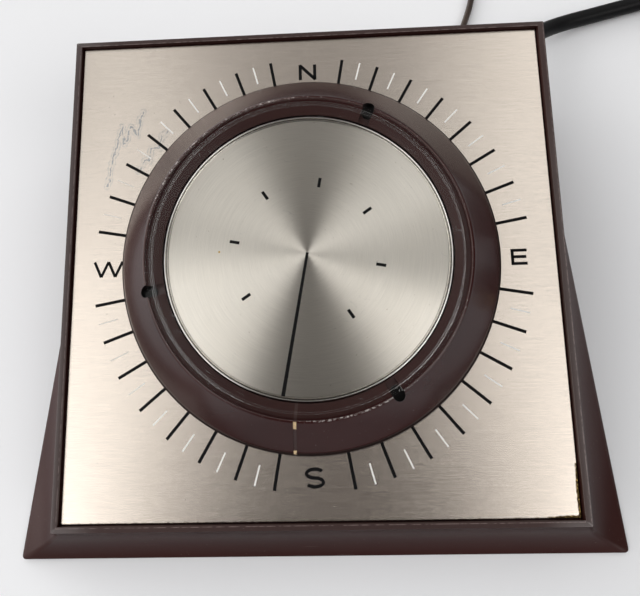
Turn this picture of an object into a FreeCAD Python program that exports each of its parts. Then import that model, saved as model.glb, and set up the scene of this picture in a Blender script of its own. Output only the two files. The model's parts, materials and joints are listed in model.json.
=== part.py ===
"""Antenna rotator controller: a sloping desk case with a compass plate, a large setting knob
and a motor driven dial seen through the knob's window. Millimetres, +Z up, front towards -Y."""
import FreeCAD
import Part
import Sketcher
import math
import os
import re
from FreeCAD import Placement, Rotation, Vector

DRIVING = [
    ("face_tilt", 15.4, "slope of the face, degrees"),
    ("face_rise", 36.35, "height of the compass centre on the plate"),
    ("face_back", 0.31, "compass centre behind the middle of the base"),
    ("base_width", 179.6, "case width at the foot of the skirt"),
    ("base_depth", 158, "case depth at the foot of the skirt"),
    ("skirt_gap", 0.8, "gap under the skirt"),
    ("lip_width", 149.6, "outer width of the raised lip"),
    ("lip_front", 75.3, "lip edge in front of the compass centre"),
    ("lip_back", 73.7, "lip edge behind the compass centre"),
    ("lip_height", 1.5, "lip above the plate"),
    ("lip_foot", 0.6, "where the skirt starts, above the plate"),
    ("plate_width", 145, "face plate width"),
    ("plate_front", 73.3, "plate edge in front of the compass centre"),
    ("plate_back", 72.6, "plate edge behind the compass centre"),
    ("plate_thick", 0.8, "face plate thickness"),
    ("plate_gap", 0.3, "gap round the face plate"),
    ("deck_thick", 2.6, "moulded deck under the plate"),
    ("wall", 2.6, "case wall"),
    ("corner", 1.2, "corner radius of the case"),
    ("cover_thick", 1.2, "bottom plate thickness"),
    ("cover_rise", 4, "underside of the bottom plate"),
    ("boss_out", 62, "cover bosses from the middle plane"),
    ("boss_front", 60, "front bosses before the middle of the base"),
    ("boss_back", 58, "back bosses behind the middle of the base"),
    ("boss_radius", 3.6, "cover boss radius"),
    ("screw_radius", 1.5, "cover screw radius"),
    ("rear_slope", 7.97, "lean of the back wall, degrees"),
    ("knob_radius", 55.3, "knob radius at its rim"),
    ("knob_rim", 5.6, "widest point of the rim above the plate"),
    ("crest_radius", 45.3, "crest of the knob ring"),
    ("crest_rise", 16.7, "crest above the plate"),
    ("window_radius", 43.2, "flat top of the window"),
    ("window_rise", 17.4, "top of the window above the plate"),
    ("disc_radius", 40.6, "dial disc radius"),
    ("disc_rise", 13.7, "top of the dial disc above the plate"),
    ("disc_thick", 0.8, "dial disc thickness"),
    ("index_heading", 185, "compass heading of the knob's index"),
    ("pointer_heading", 190.6, "compass heading of the dial pointer"),
    ("stop_circle", 50.5, "distance of the stop pin from the knob's axis"),
    ("sleeve_radius", 4.75, "knob sleeve outside radius"),
    ("shaft_radius", 2.5, "dial shaft radius"),
    ("stud_radius", 1.5, "idler stud and motor shaft radius"),
    ("running", 0.05, "running clearance on radius"),
    ("gear_module", 0.8, "module of the dial train"),
    ("dial_teeth", 60, "teeth of the dial gear"),
    ("idler_teeth", 32, "teeth of the idler"),
    ("pinion_teeth", 12, "teeth of the motor pinion"),
    ("gear_top", -14, "top of the gears, below the plate"),
    ("gear_face", 2.5, "face width of the gears"),
    ("idler_way", 45, "direction of the idler from the dial shaft, degrees"),
    ("frame_top", -20.5, "top of the mechanism plate"),
    ("frame_thick", 1.5, "mechanism plate thickness"),
    ("motor_radius", 18, "motor can radius"),
    ("motor_deep", 14, "motor can depth"),
    ("cord_width", 6.5, "mains cord diameter"),
    ("lead_width", 2.6, "rotator lead diameter"),
]

doc = FreeCAD.newDocument("rotator_controller")
dims = doc.addObject("Spreadsheet::Sheet", "dims")
for row, (alias, value, note) in enumerate(DRIVING, 1):
    dims.set(f"A{row}", note)
    dims.set(f"B{row}", str(value))
    dims.setAlias(f"B{row}", alias)
doc.recompute()
ALIASES = {alias for alias, _, _ in DRIVING}
NODES = {}
X_AXIS, Y_AXIS, Z_AXIS = Vector(1, 0, 0), Vector(0, 1, 0), Vector(0, 0, 1)


# ---------------------------------------------------------------- helpers

def bound(text):
    """The expression with the sheet's name in front of every alias."""
    return re.sub(r"[a-z][a-z_]*", lambda m: f"dims.{m[0]}" if m[0] in ALIASES else m[0], str(text))


def size(text):
    """The expression's value, as a plain number."""
    return float(dims.evalExpression(bound(text)))


def new_body(label, place=None, kept=True):
    body = doc.addObject("PartDesign::Body", label)
    body.Label = label
    body.Placement = place or Placement()
    if kept:
        NODES[label] = body
    return body


def new_sketch(body, plane="XY_Plane", lift=0, offset=None):
    """A sketch on one of the body's origin planes, lifted along the plane's normal."""
    sketch = body.newObject("Sketcher::SketchObject", body.Name + "_sketch")
    origin = next(f for f in body.Origin.OriginFeatures if f.Role == plane)
    sketch.AttachmentSupport = [(origin, "")]
    sketch.MapMode = "FlatFace"
    if offset is not None:
        sketch.AttachmentOffset = offset
    elif str(lift) != "0":
        sketch.AttachmentOffset = Placement(Vector(0, 0, size(lift)), Rotation())
        sketch.setExpression("AttachmentOffset.Base.z", bound(lift))
    return sketch


def fix(sketch, kind, geometry, point, text):
    """Holds one coordinate of a point at the value of an expression."""
    index = sketch.addConstraint(Sketcher.Constraint(kind, -1, 1, geometry, point, size(text)))
    sketch.setExpression(f"Constraints[{index}]", bound(text))


def outline(sketch, corners):
    """A closed outline of straight edges. Every corner is a pair of expressions."""
    first = sketch.GeometryCount
    points = [Vector(size(x), size(y), 0) for x, y in corners]
    count = len(points)
    for i in range(count):
        sketch.addGeometry(Part.LineSegment(points[i], points[(i + 1) % count]), False)
    for i in range(count):
        after = first + (i + 1) % count
        sketch.addConstraint(Sketcher.Constraint("Coincident", first + i, 2, after, 1))
    for i, (x, y) in enumerate(corners):
        fix(sketch, "DistanceX", first + i, 1, x)
        fix(sketch, "DistanceY", first + i, 1, y)


def rectangle(sketch, left, low, right, high):
    outline(sketch, [(left, low), (right, low), (right, high), (left, high)])


def circle(sketch, x, y, radius):
    index = sketch.GeometryCount
    centre = Vector(size(x), size(y), 0)
    sketch.addGeometry(Part.Circle(centre, Z_AXIS, size(radius)), False)
    fix(sketch, "DistanceX", index, 3, x)
    fix(sketch, "DistanceY", index, 3, y)
    held = sketch.addConstraint(Sketcher.Constraint("Radius", index, size(radius)))
    sketch.setExpression(f"Constraints[{held}]", bound(radius))


def extrude(body, sketch, length, kind="Pad", both=False, back=False):
    """Pads the sketch along its normal, or pockets it against its normal."""
    feature = body.newObject(f"PartDesign::{kind}", f"{body.Name}_{kind.lower()}")
    feature.Profile = sketch
    feature.Length = size(length)
    feature.setExpression("Length", bound(length))
    feature.Midplane = both
    feature.Reversed = back
    sketch.Visibility = False
    doc.recompute()
    return feature


def cut(body, sketch, length, both=False, back=False):
    """A pocket, refused if it takes nothing away."""
    before = body.Shape.Volume
    feature = extrude(body, sketch, length, "Pocket", both, back)
    if body.Shape.Volume > before - 1e-6:
        raise ValueError(f"{feature.Name} cuts nothing")
    return feature


def spin(body, corners):
    """A full turn about Z of an outline of (radius, height) corners."""
    sketch = new_sketch(body, "XZ_Plane")
    outline(sketch, corners)
    feature = body.newObject("PartDesign::Revolution", f"{body.Name}_revolution")
    feature.Profile = sketch
    feature.ReferenceAxis = (sketch, ["V_Axis"])
    feature.Angle = 360
    sketch.Visibility = False
    doc.recompute()
    return feature


def turned(label, corners, place=None, kept=True):
    body = new_body(label, place, kept)
    spin(body, corners)
    return body


def ring_outline(inner, outer, low, high):
    return [(inner, low), (outer, low), (outer, high), (inner, high)]


def sheet_part(label, lift, thick, corners, holes=(), place=None):
    """A flat piece with round holes, each (x, y, radius)."""
    body = new_body(label, place)
    sketch = new_sketch(body, lift=lift)
    outline(sketch, corners)
    for x, y, radius in holes:
        circle(sketch, x, y, radius)
    extrude(body, sketch, thick)
    return body


def block(label, low, high, place=None):
    """A plain box between two corners given as expressions."""
    body = new_body(label, place)
    sketch = new_sketch(body, lift=low[2])
    rectangle(sketch, low[0], low[1], high[0], high[1])
    extrude(body, sketch, f"({high[2]}) - ({low[2]})")
    return body


def group(label, master, places):
    """Identical pieces in one node: links to one master, each at its own place."""
    links = []
    for place in places:
        link = doc.addObject("App::Link", f"{label}_link")
        link.LinkedObject = master
        link.Placement = place
        links.append(link)
    compound = doc.addObject("Part::Compound", label)
    compound.Label = label
    compound.Links = links
    NODES[label] = compound
    return compound


def screw_master(label, radius, head_radius, head_high, long):
    """A slotted pan head screw: head above z 0, shank below."""
    body = turned(label, [(0, f"-({long})"), (radius, f"-({long})"), (radius, 0), (head_radius, 0),
                          (head_radius, head_high * 0.6), (head_radius * 0.7, head_high),
                          (0, head_high)], kept=False)
    slot = new_sketch(body, lift=head_high)
    rectangle(slot, -head_radius - 1, -0.3, head_radius + 1, 0.3)
    cut(body, slot, head_high * 0.5)
    return body


def solid_node(label, shape):
    feature = doc.addObject("Part::Feature", label)
    feature.Label = label
    feature.Shape = shape
    NODES[label] = feature
    return feature


def shifted(place, x, y, z, turn=0):
    """A place moved in its own frame, then turned about its own Z."""
    return place.multiply(Placement(Vector(x, y, z), Rotation(Z_AXIS, turn)))


# Frames: the face's, with Z out of the plate at the compass centre, and the back wall's, with
# Y out of the wall and Z up it from the foot of the skirt.
FACE = Placement(Vector(0, size("face_back"), size("face_rise")),
                 Rotation(X_AXIS, size("face_tilt")))
REAR = Placement(Vector(0, size("base_depth / 2 + 0.04"), size("skirt_gap")),
                 Rotation(X_AXIS, size("rear_slope")))
BASE = Placement()
HEAD_DOWN = Rotation(X_AXIS, 180)
HEAD_BACK = Rotation(X_AXIS, -90)


def heading_turn(alias):
    """Turn about Z that brings the -Y direction to a compass heading."""
    return 180 - size(alias)


KNOB = shifted(FACE, 0, 0, 0, heading_turn("index_heading"))
DIAL = shifted(FACE, 0, 0, 0, heading_turn("pointer_heading"))


# ---------------------------------------------------------------- case

# The skirt is lofted through rounded rectangles that turn from the sloping face to the level
# foot. Its front and back edges and its half width each follow a quadratic curve.
SECTIONS = (0, 0.25, 0.5, 0.75, 1)
POSTS = [(-30, -8), (34, -10), (-8, 54), (46, 57)]
COVER_TOP = "cover_rise + cover_thick"
BOSSES = [(x, y) for y in ("-boss_front", "boss_back") for x in ("-boss_out", "boss_out")]
WINDOW = {"left": 0, "right": 50, "low": 13, "high": 31}
EAR_SCREWS = [(-3, 22), (53, 22)]
CORD_HOLE = {"x": 66, "high": 14, "radius": 6.5}


def weights(share):
    return (1 - share) ** 2, 2 * share * (1 - share), share ** 2


def bend(share, points):
    """(y, z) on the quadratic curve through three control points."""
    parts = weights(share)
    return (sum(k * p[0] for k, p in zip(parts, points)),
            sum(k * p[1] for k, p in zip(parts, points)))


def face_point(y, z):
    """(y, z) in the base frame of a point of the face's frame."""
    point = FACE.multVec(Vector(0, y, z))
    return point.y, point.z


def middle_of(one, other):
    return (one[0] + other[0]) / 2, (one[1] + other[1]) / 2


def round_rectangle(sketch, half_width, half_length, radius):
    """A rectangle about the sketch's origin with four round corners, sized by expressions."""
    x_text, y_text = f"{half_width} - {radius}", f"{half_length} - {radius}"
    x, y, r = size(x_text), size(y_text), size(radius)
    centres = [(x, -y, -90), (x, y, 0), (-x, y, 90), (-x, -y, 180)]
    arcs = []
    for cx, cy, start in centres:
        ring = Part.Circle(Vector(cx, cy, 0), Z_AXIS, r)
        arcs.append(Part.ArcOfCircle(ring, math.radians(start), math.radians(start + 90)))
    for i, arc in enumerate(arcs):
        sketch.addGeometry(arc, False)
        sketch.addGeometry(Part.LineSegment(arc.EndPoint, arcs[(i + 1) % 4].StartPoint), False)
    for i in range(8):
        sketch.addConstraint(Sketcher.Constraint("Coincident", i, 2, (i + 1) % 8, 1))
    for i, (x_sign, y_sign) in enumerate([("", "-"), ("", ""), ("-", ""), ("-", "-")]):
        fix(sketch, "DistanceX", 2 * i, 3, f"{x_sign}({x_text})")
        fix(sketch, "DistanceY", 2 * i, 3, f"{y_sign}({y_text})")


def loft(body, kind, half_widths, fronts, backs, radius):
    """Lofts through sections hung between the front and back edge curves."""
    sketches = []
    for share in SECTIONS:
        front, back = bend(share, fronts), bend(share, backs)
        tilt = math.degrees(math.atan2(back[1] - front[1], back[0] - front[0]))
        middle = middle_of(front, back)
        place = Placement(Vector(0, *middle), Rotation(X_AXIS, tilt))
        sketch = new_sketch(body, offset=place)
        width = " + ".join(f"{k} * ({w})" for k, w in zip(weights(share), half_widths))
        length = math.hypot(back[0] - front[0], back[1] - front[1]) / 2
        round_rectangle(sketch, f"({width})", f"{length}", radius)
        sketch.Visibility = False
        sketches.append(sketch)
    doc.recompute()
    feature = body.newObject(f"PartDesign::{kind}", f"{body.Name}_{kind.lower()}")
    feature.Profile = sketches[0]
    feature.Sections = sketches[1:]
    feature.Ruled = False
    doc.recompute()
    return feature


def on_face_sketch(body, height):
    """A sketch parallel to the face at a height above the plate."""
    return new_sketch(body, offset=shifted(FACE, 0, 0, size(height)))


def on_rear_sketch(body, out, frame=REAR):
    """A sketch parallel to the back wall; x to the right, y up the wall, normal inwards."""
    return new_sketch(body, offset=frame.multiply(Placement(Vector(0, out, 0), Rotation(X_AXIS, 90))))


def make_housing():
    """Moulded top case: flared skirt, raised lip, deck, bosses, posts and rear openings."""
    body = new_body("housing")
    half_depth, gap = size("base_depth / 2"), size("skirt_gap")
    front_top = face_point(-size("lip_front"), size("lip_foot"))
    back_top = face_point(size("lip_back"), size("lip_foot"))
    front_low, back_low = (-half_depth, gap), (half_depth, gap)
    front_control = (front_top[0] - 0.5, 5.5)
    loft(body, "AdditiveLoft", ("lip_width / 2", "lip_width / 2 + 1", "base_width / 2"),
         (front_top, front_control, front_low), (back_top, middle_of(back_top, back_low), back_low),
         "corner")
    lip = on_face_sketch(body, "lip_foot")
    rectangle(lip, "-lip_width / 2", "-lip_front", "lip_width / 2", "lip_back")
    extrude(body, lip, "lip_height - lip_foot")
    recess = on_face_sketch(body, "lip_height")
    rectangle(recess, "-plate_width / 2 - plate_gap", "-plate_front - plate_gap",
              "plate_width / 2 + plate_gap", "plate_back + plate_gap")
    cut(body, recess, "lip_height + plate_thick")
    hollow(body, front_control, front_low, back_low)
    add_bosses(body)
    cut_rear(body)


def hollow(body, front_control, front_low, back_low):
    """The inside follows the skirt a wall behind it, up to the underside of the deck."""
    wall, under = size("wall"), -size("plate_thick + deck_thick")
    foot_wall = 1.4 * wall
    front = face_point(-size("lip_front") + 0.6 * wall, under)
    back = face_point(size("lip_back") - wall, under)
    low = (back_low[0] - wall, back_low[1])
    loft(body, "SubtractiveLoft",
         ("lip_width / 2 - wall + 0.2", "lip_width / 2 - wall + 0.8", "base_width / 2 - wall * 1.4"),
         (front, (front[0] - 0.3, front_control[1] - 0.9), (front_low[0] + foot_wall, front_low[1])),
         (back, middle_of(back, low), low), "0.8")


def add_bosses(body):
    """Cover bosses, posts for the mechanism, the bushing's hole and the stop pin's."""
    slope = math.tan(math.radians(size("face_tilt")))
    for x, y in BOSSES:
        sketch = new_sketch(body, lift=COVER_TOP)
        circle(sketch, x, y, "boss_radius")
        plate_line = size("face_rise") + (size(y) - size("face_back")) * slope
        extrude(body, sketch, plate_line - size(f"plate_thick + deck_thick / 2 + {COVER_TOP}"))
        bore = new_sketch(body, lift=COVER_TOP)
        circle(bore, x, y, "screw_radius")
        cut(body, bore, 8, back=True)
    posts = on_face_sketch(body, "frame_top")
    for x, y in POSTS:
        circle(posts, x, y, 3.5)
        circle(posts, x, y, 1.2)
    extrude(body, posts, "-frame_top - plate_thick - deck_thick * 0.6")
    deck = on_face_sketch(body, "-plate_thick")
    circle(deck, 0, 0, 6.1)
    cut(body, deck, "deck_thick + 1")
    pin = on_face_sketch(body, "-plate_thick")
    circle(pin, 0, "-stop_circle", 0.9)
    cut(body, pin, "deck_thick - 0.6")


def cut_rear(body):
    """Window and screw holes for the terminal block, and the mains cord's hole."""
    window = on_rear_sketch(body, 1)
    rectangle(window, WINDOW["left"], WINDOW["low"], WINDOW["right"], WINDOW["high"])
    for x, high in EAR_SCREWS:
        circle(window, x, high, 1.3)
    circle(window, CORD_HOLE["x"], CORD_HOLE["high"], CORD_HOLE["radius"])
    cut(body, window, 9, back=True)


def make_faceplate():
    """Brushed sheet in the recess, with holes for the bushing nut and the stop pin."""
    left, right = "-plate_width / 2", "plate_width / 2"
    sheet_part("faceplate", "-plate_thick", "plate_thick",
               [(left, "-plate_front"), (right, "-plate_front"), (right, "plate_back"),
                (left, "plate_back")],
               [(0, 0, 9.5), (0, "-stop_circle", 1.1)], FACE)


TRANSFORMER = (-40, 40)
STRAP_HOLE = 26
CLAMP = (-54, -2)
CLAMP_HOLE = 14
VENTS = [(x, y) for y in (-44, -34) for x in (-36, -18, 0, 18, 36)]


def make_bottom():
    """Steel bottom plate with vent slots, the feet and the screws through them."""
    threaded = [(TRANSFORMER[0] + side * STRAP_HOLE, TRANSFORMER[1], 1.4) for side in (-1, 1)]
    threaded.append((CLAMP[0] + CLAMP_HOLE, CLAMP[1], 1.4))
    body = sheet_part("bottom_plate", "cover_rise", "cover_thick",
                      [(-76, -71), (76, -71), (79.4, -40), (82.6, 74.8), (-82.6, 74.8), (-79.4, -40)],
                      [(x, y, "screw_radius + 0.2") for x, y in BOSSES] + threaded)
    slots = new_sketch(body, lift=COVER_TOP)
    for x, y in VENTS:
        rectangle(slots, x - 6, y - 1.2, x + 6, y + 1.2)
    cut(body, slots, "cover_thick")
    foot = turned("rubber_foot", [(1.7, 2.2), (3.7, 2.2), (3.7, 0), (6.4, 0), (7, 0.7),
                                  (6.6, "cover_rise"), (1.7, "cover_rise")], kept=False)
    spots = [shifted(BASE, size(x), size(y), 0) for x, y in BOSSES]
    group("rubber_feet", foot, spots)
    screw = screw_master("cover_screw", "screw_radius", 3.2, 1.6, 9.5)
    group("cover_screws", screw,
          [spot.multiply(Placement(Vector(0, 0, 2.2), HEAD_DOWN)) for spot in spots])


# ---------------------------------------------------------------- bushing and knob

NOTCH_HEADINGS = (148.9, 257.5, 24.2)


def make_bushing():
    """Threaded bushing in the deck that carries the knob's sleeve, its nut and the stop pin."""
    under = "-plate_thick - deck_thick"
    turned("shaft_bushing",
           [("sleeve_radius + running", -7.6), (6, -7.6), (6, f"{under} - 1.4"), (9, f"{under} - 1.4"),
            (9, under), (6, under), (6, 1.4), ("sleeve_radius + running", 1.4)], FACE)
    body = new_body("bushing_nut", FACE)
    sketch = new_sketch(body, lift="-plate_thick")
    corners = [(f"8.4 * cos({angle} deg)", f"8.4 * sin({angle} deg)") for angle in range(0, 360, 60)]
    outline(sketch, corners)
    circle(sketch, 0, 0, 6)
    extrude(body, sketch, 1.8)
    root = "0.6 - plate_thick - deck_thick"
    turned("stop_pin", [(0, root), (0.9, root), (0.9, 3.4), (0.7, 3.6), (0, 3.6)],
           shifted(FACE, 0, -size("stop_circle"), 0))


def make_knob():
    """Ring, web and hub in one moulding, hollow underneath, with the index at -Y."""
    body = new_body("control_knob", KNOB)
    spin(body, [
        ("sleeve_radius", 2), (43.5, 2), (43.5, 11.9), (46.3, 11.9), (52.6, 4.9), (52.6, 1.2),
        ("knob_radius - 0.7", 1.2), ("knob_radius", 3.6), ("knob_radius", "knob_rim"),
        ("knob_radius - 0.35", "knob_rim + 0.8"), ("knob_radius - 1.0", "knob_rim + 1.6"),
        ("crest_radius + 0.5", "crest_rise - 0.25"), ("crest_radius", "crest_rise"),
        ("crest_radius - 0.15", "crest_rise"), ("crest_radius - 0.15", 15.3), (43.6, 15.3),
        (41.1, 14.4), (41.1, 4.2), (9, 4.2), (9, 9.3), ("sleeve_radius", 9.3)])
    rib = new_sketch(body, lift=1.5)
    rectangle(rib, -0.8, -52.9, 0.8, -48.2)
    extrude(body, rib, 5)
    for heading in NOTCH_HEADINGS:
        notch = new_sketch(body, offset=notch_place(heading, 17.2))
        rectangle(notch, -1.8, 43.2, 1.8, 47)
        cut(body, notch, 2.6)
    index = new_sketch(body, "YZ_Plane")
    inner, outer = ("-crest_radius - 0.6", "crest_rise - 0.75"), ("2 - knob_radius", "knob_rim + 1.7")
    outline(index, [inner, outer, (f"{outer[0]} - 2", f"{outer[1]} + 2"),
                    (f"{inner[0]} - 2", f"{inner[1]} + 2")])
    cut(body, index, 0.7, both=True)


def notch_place(heading, height):
    """Where a notch's sketch stands on the knob: +Y points at a compass heading."""
    return shifted(BASE, 0, 0, height, -heading - heading_turn("index_heading"))


def make_knob_fittings():
    """Clear window with its tabs, sleeve, retaining ring, and the wiper under the deck."""
    body = new_body("knob_window", KNOB)
    edge = "crest_radius - 0.3"
    spin(body, [(0, 15.9), (43.4, 15.9), (43.4, 15.35), (edge, 15.35), (edge, "crest_rise + 0.05"),
                ("window_radius", "window_rise"), (0, "window_rise")])
    for heading in NOTCH_HEADINGS:
        tab = new_sketch(body, offset=notch_place(heading, 15.4))
        rectangle(tab, -1.3, 44.2, 1.3, 46.2)
        extrude(body, tab, 1)
    turned("knob_sleeve", ring_outline("shaft_radius + running", "sleeve_radius", -11.5, 9.3), KNOB)
    turned("knob_retaining_ring", ring_outline("sleeve_radius", 7.5, -8.4, -7.9), KNOB)
    turned("wiper_carrier", ring_outline("sleeve_radius", 13, -10.4, -8.6), KNOB)
    spring = new_body("wiper_spring", KNOB)
    sketch = new_sketch(spring, "YZ_Plane")
    outline(sketch, [(-6.5, -10.8), (-12.2, -10.8), (-15, -12.1), (-16.2, -12.35), (-17.2, -12.05),
                     (-17.2, -11.6), (-16.2, -11.95), (-15.2, -11.7), (-12.4, -10.4), (-6.5, -10.4)])
    extrude(spring, sketch, 4, both=True)


# ---------------------------------------------------------------- dial and its gears

GEAR_LOW = "gear_top - gear_face"
SLIP_LOW = f"{GEAR_LOW} - 1.5"


def make_dial():
    """Spun disc on a hub, the shaft through the sleeve, the contact disc and the slip rings."""
    under = "disc_rise - disc_thick"
    turned("dial_disc", [(0, under), ("disc_radius", under), ("disc_radius", "disc_rise - 0.25"),
                         ("disc_radius - 0.25", "disc_rise"), (0, "disc_rise")], DIAL)
    turned("dial_hub", [("shaft_radius", 9.7), (5, 9.7), (5, 11.6), (9, 11.6), (9, under),
                        (0, under), (0, 12.4), ("shaft_radius", 12.4)], DIAL)
    turned("dial_shaft", [(0, -26), ("shaft_radius - 0.3", -26), ("shaft_radius", -25.7),
                          ("shaft_radius", 12.4), (0, 12.4)], DIAL)
    turned("shaft_retaining_ring", ring_outline("shaft_radius", 5, -24.7, -24), DIAL)
    turned("contact_disc", ring_outline("shaft_radius", 19.5, "gear_top", "gear_top + 1.2"), DIAL)
    turned("slip_ring_disc", ring_outline("shaft_radius", 11, SLIP_LOW, GEAR_LOW), DIAL)
    rings = new_body("slip_rings", DIAL)
    sketch = new_sketch(rings, lift=f"{SLIP_LOW} - 0.25")
    for radius in (5, 6.8, 8.2, 10):
        circle(sketch, 0, 0, radius)
    extrude(rings, sketch, 0.25)
    make_segments()


def make_segments():
    """Two copper arcs with dead gaps at the pointer's line, one for each way of turning."""
    body = new_body("contact_segments", DIAL)
    sketch = new_sketch(body, lift="gear_top + 1.2")
    for first_angle in (-82, 98):
        base = sketch.GeometryCount
        turn = math.radians(first_angle), math.radians(first_angle + 164)
        rings = [Part.Circle(Vector(), Z_AXIS, radius) for radius in (13, 18.5)]
        inner, outer = [Part.ArcOfCircle(ring, *turn) for ring in rings]
        sketch.addGeometry(inner, False)
        sketch.addGeometry(outer, False)
        sketch.addGeometry(Part.LineSegment(inner.StartPoint, outer.StartPoint), False)
        sketch.addGeometry(Part.LineSegment(inner.EndPoint, outer.EndPoint), False)
        for line, point in ((base + 2, 1), (base + 3, 2)):
            sketch.addConstraint(Sketcher.Constraint("Coincident", line, 1, base, point))
            sketch.addConstraint(Sketcher.Constraint("Coincident", line, 2, base + 1, point))
    extrude(body, sketch, 0.3)


PRESSURE_ANGLE = math.radians(20)
BACKLASH = 0.14
TIP_SHARE, ROOT_SHARE = 0.8, 1.05
FLANK_POINTS = 5


def gear_wire(teeth, first_tooth):
    """Spur gear outline with stub teeth: involute flanks in short chords between a tip and a
    root land. One tooth is centred on the first_tooth direction, in degrees."""
    module = size("gear_module")
    pitch = module * teeth / 2
    base = pitch * math.cos(PRESSURE_ANGLE)
    tip, root = pitch + TIP_SHARE * module, pitch - ROOT_SHARE * module

    def involute(radius):
        angle = math.acos(min(1, base / radius))
        return math.tan(angle) - angle

    half = math.pi / (2 * teeth) - BACKLASH / (2 * pitch) + involute(pitch)
    start = max(base, root)
    radii = [start + (tip - start) * k / (FLANK_POINTS - 1) for k in range(FLANK_POINTS)]
    flank = [(radius, half - involute(radius)) for radius in radii]
    if root < base:
        flank.insert(0, (root, half))
    points = []
    for tooth in range(teeth):
        middle = math.radians(first_tooth) + 2 * math.pi * tooth / teeth
        sides = [(radius, middle - angle) for radius, angle in flank]
        sides += [(radius, middle + angle) for radius, angle in reversed(flank)]
        points += [Vector(r * math.cos(a), r * math.sin(a), 0) for r, a in sides]
    return Part.makePolygon(points + points[:1])


def gear_solid(teeth, first_tooth, low, high, bore):
    disc = Part.Face(gear_wire(teeth, first_tooth)).extrude(Vector(0, 0, high - low))
    disc.translate(Vector(0, 0, low))
    return disc.cut(Part.makeCylinder(bore, high - low + 2, Vector(0, 0, low - 1)))


def make_gears():
    """Dial gear, idler and motor pinion in mesh: a tooth of one faces a gap of the next.
    Returns the idler's and the pinion's places in the face's frame."""
    module, way = size("gear_module"), size("idler_way")
    dial, idler, pinion = [int(size(f"{name}_teeth")) for name in ("dial", "idler", "pinion")]
    low, high, stud = size(GEAR_LOW), size("gear_top"), size("stud_radius")
    reach = module * (dial + idler) / 2
    idler_at = Vector(reach * math.cos(math.radians(way)), reach * math.sin(math.radians(way)), 0)
    pinion_at = idler_at + Vector(0, module * (idler + pinion) / 2, 0)
    idler_first = way + 180 + 180 / idler
    step = 360 / idler
    past_up = (90 - idler_first + step / 2) % step - step / 2
    pinion_first = 270 + 180 / pinion + past_up * idler / pinion
    solid_node("dial_gear", gear_solid(dial, way, low, high, size("shaft_radius"))).Placement = FACE
    bore = stud + size("running")
    wheel = gear_solid(idler, idler_first, low, high, bore)
    hub = Part.makeCylinder(3.6, 7.9, Vector(0, 0, -20))
    hub = hub.cut(Part.makeCylinder(bore, 9, Vector(0, 0, -20.5)))
    wheel = wheel.fuse(hub).removeSplitter()
    solid_node("idler_gear", wheel).Placement = shifted(FACE, *idler_at)
    wheel = gear_solid(pinion, pinion_first, low - 0.4, high + 0.4, stud)
    solid_node("motor_pinion", wheel).Placement = shifted(FACE, *pinion_at)
    return idler_at, pinion_at


# ---------------------------------------------------------------- mechanism plate and motor

FRAME_LOW = "frame_top - frame_thick"
EAR = 21.5


def make_mechanism(idler, pinion):
    """Plate on the housing's posts with the lower bearing, the idler's stud and the brushes."""
    ears = [(pinion.x - EAR, pinion.y), (pinion.x + EAR, pinion.y)]
    holes = [(x, y, 1.4) for x, y in POSTS] + [(x, y, 1.3) for x, y in ears]
    holes += [(0, 0, 4.5), (idler.x, idler.y, "stud_radius"), (pinion.x, pinion.y, 5)]
    sheet_part("mechanism_plate", FRAME_LOW, "frame_thick",
               [(-36, -15), (42, -17), (53, -4), (53, 63), (-14, 63), (-14, 26), (-36, 4)],
               holes, FACE)
    screw = screw_master("mechanism_screw", 1.2, 2.8, 1.6, "frame_thick + 5")
    group("mechanism_screws", screw, under_face(FRAME_LOW, POSTS))
    bore = "shaft_radius + running"
    turned("lower_bearing", [(bore, -23.6), (4.5, -23.6), (4.5, "frame_top"), (6, "frame_top"),
                             (6, "frame_top + 0.7"), (bore, "frame_top + 0.7")], FACE)
    axle = shifted(FACE, *idler)
    turned("idler_stud", [(0, FRAME_LOW), ("stud_radius", FRAME_LOW), ("stud_radius", -10.2),
                          (0, -10.2)], axle)
    turned("idler_retaining_ring", ring_outline("stud_radius", 3, -11.7, -11.2), axle)
    make_motor(shifted(FACE, *pinion), ears)
    make_brushes()


def under_face(height, points):
    """Places for screws driven from below, at points of the face's frame."""
    spots = [shifted(FACE, x, y, size(height)) for x, y in points]
    return [spot.multiply(Placement(Vector(), HEAD_DOWN)) for spot in spots]


def make_motor(place, ears):
    """Synchronous gear motor: can, mounting flange, output bearing, shaft and two screws."""
    top = f"{FRAME_LOW} - 1"
    turned("motor_can", [(0, f"{top} - motor_deep"), ("motor_radius - 1", f"{top} - motor_deep"),
                         ("motor_radius", f"{top} - motor_deep + 1"), ("motor_radius", top), (0, top)],
           place)
    half = EAR + 4
    sheet_part("motor_flange", top, 1,
               [(-half, -4), (-17, -4), (-11, -14), (11, -14), (17, -4), (half, -4),
                (half, 4), (17, 4), (11, 14), (-11, 14), (-17, 4), (-half, 4)],
               [(-EAR, 0, 1.3), (EAR, 0, 1.3), (0, 0, 3)], place)
    turned("motor_bearing", ring_outline("stud_radius + running", 3, top, "frame_top + 0.6"), place)
    turned("motor_shaft", ring_outline(0, "stud_radius", f"{top} + 0.1", "gear_top + 0.8"), place)
    screw = screw_master("motor_screw", 1.3, 2.6, 1.4, 3.4)
    group("motor_screws", screw, under_face(top, ears))


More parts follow.
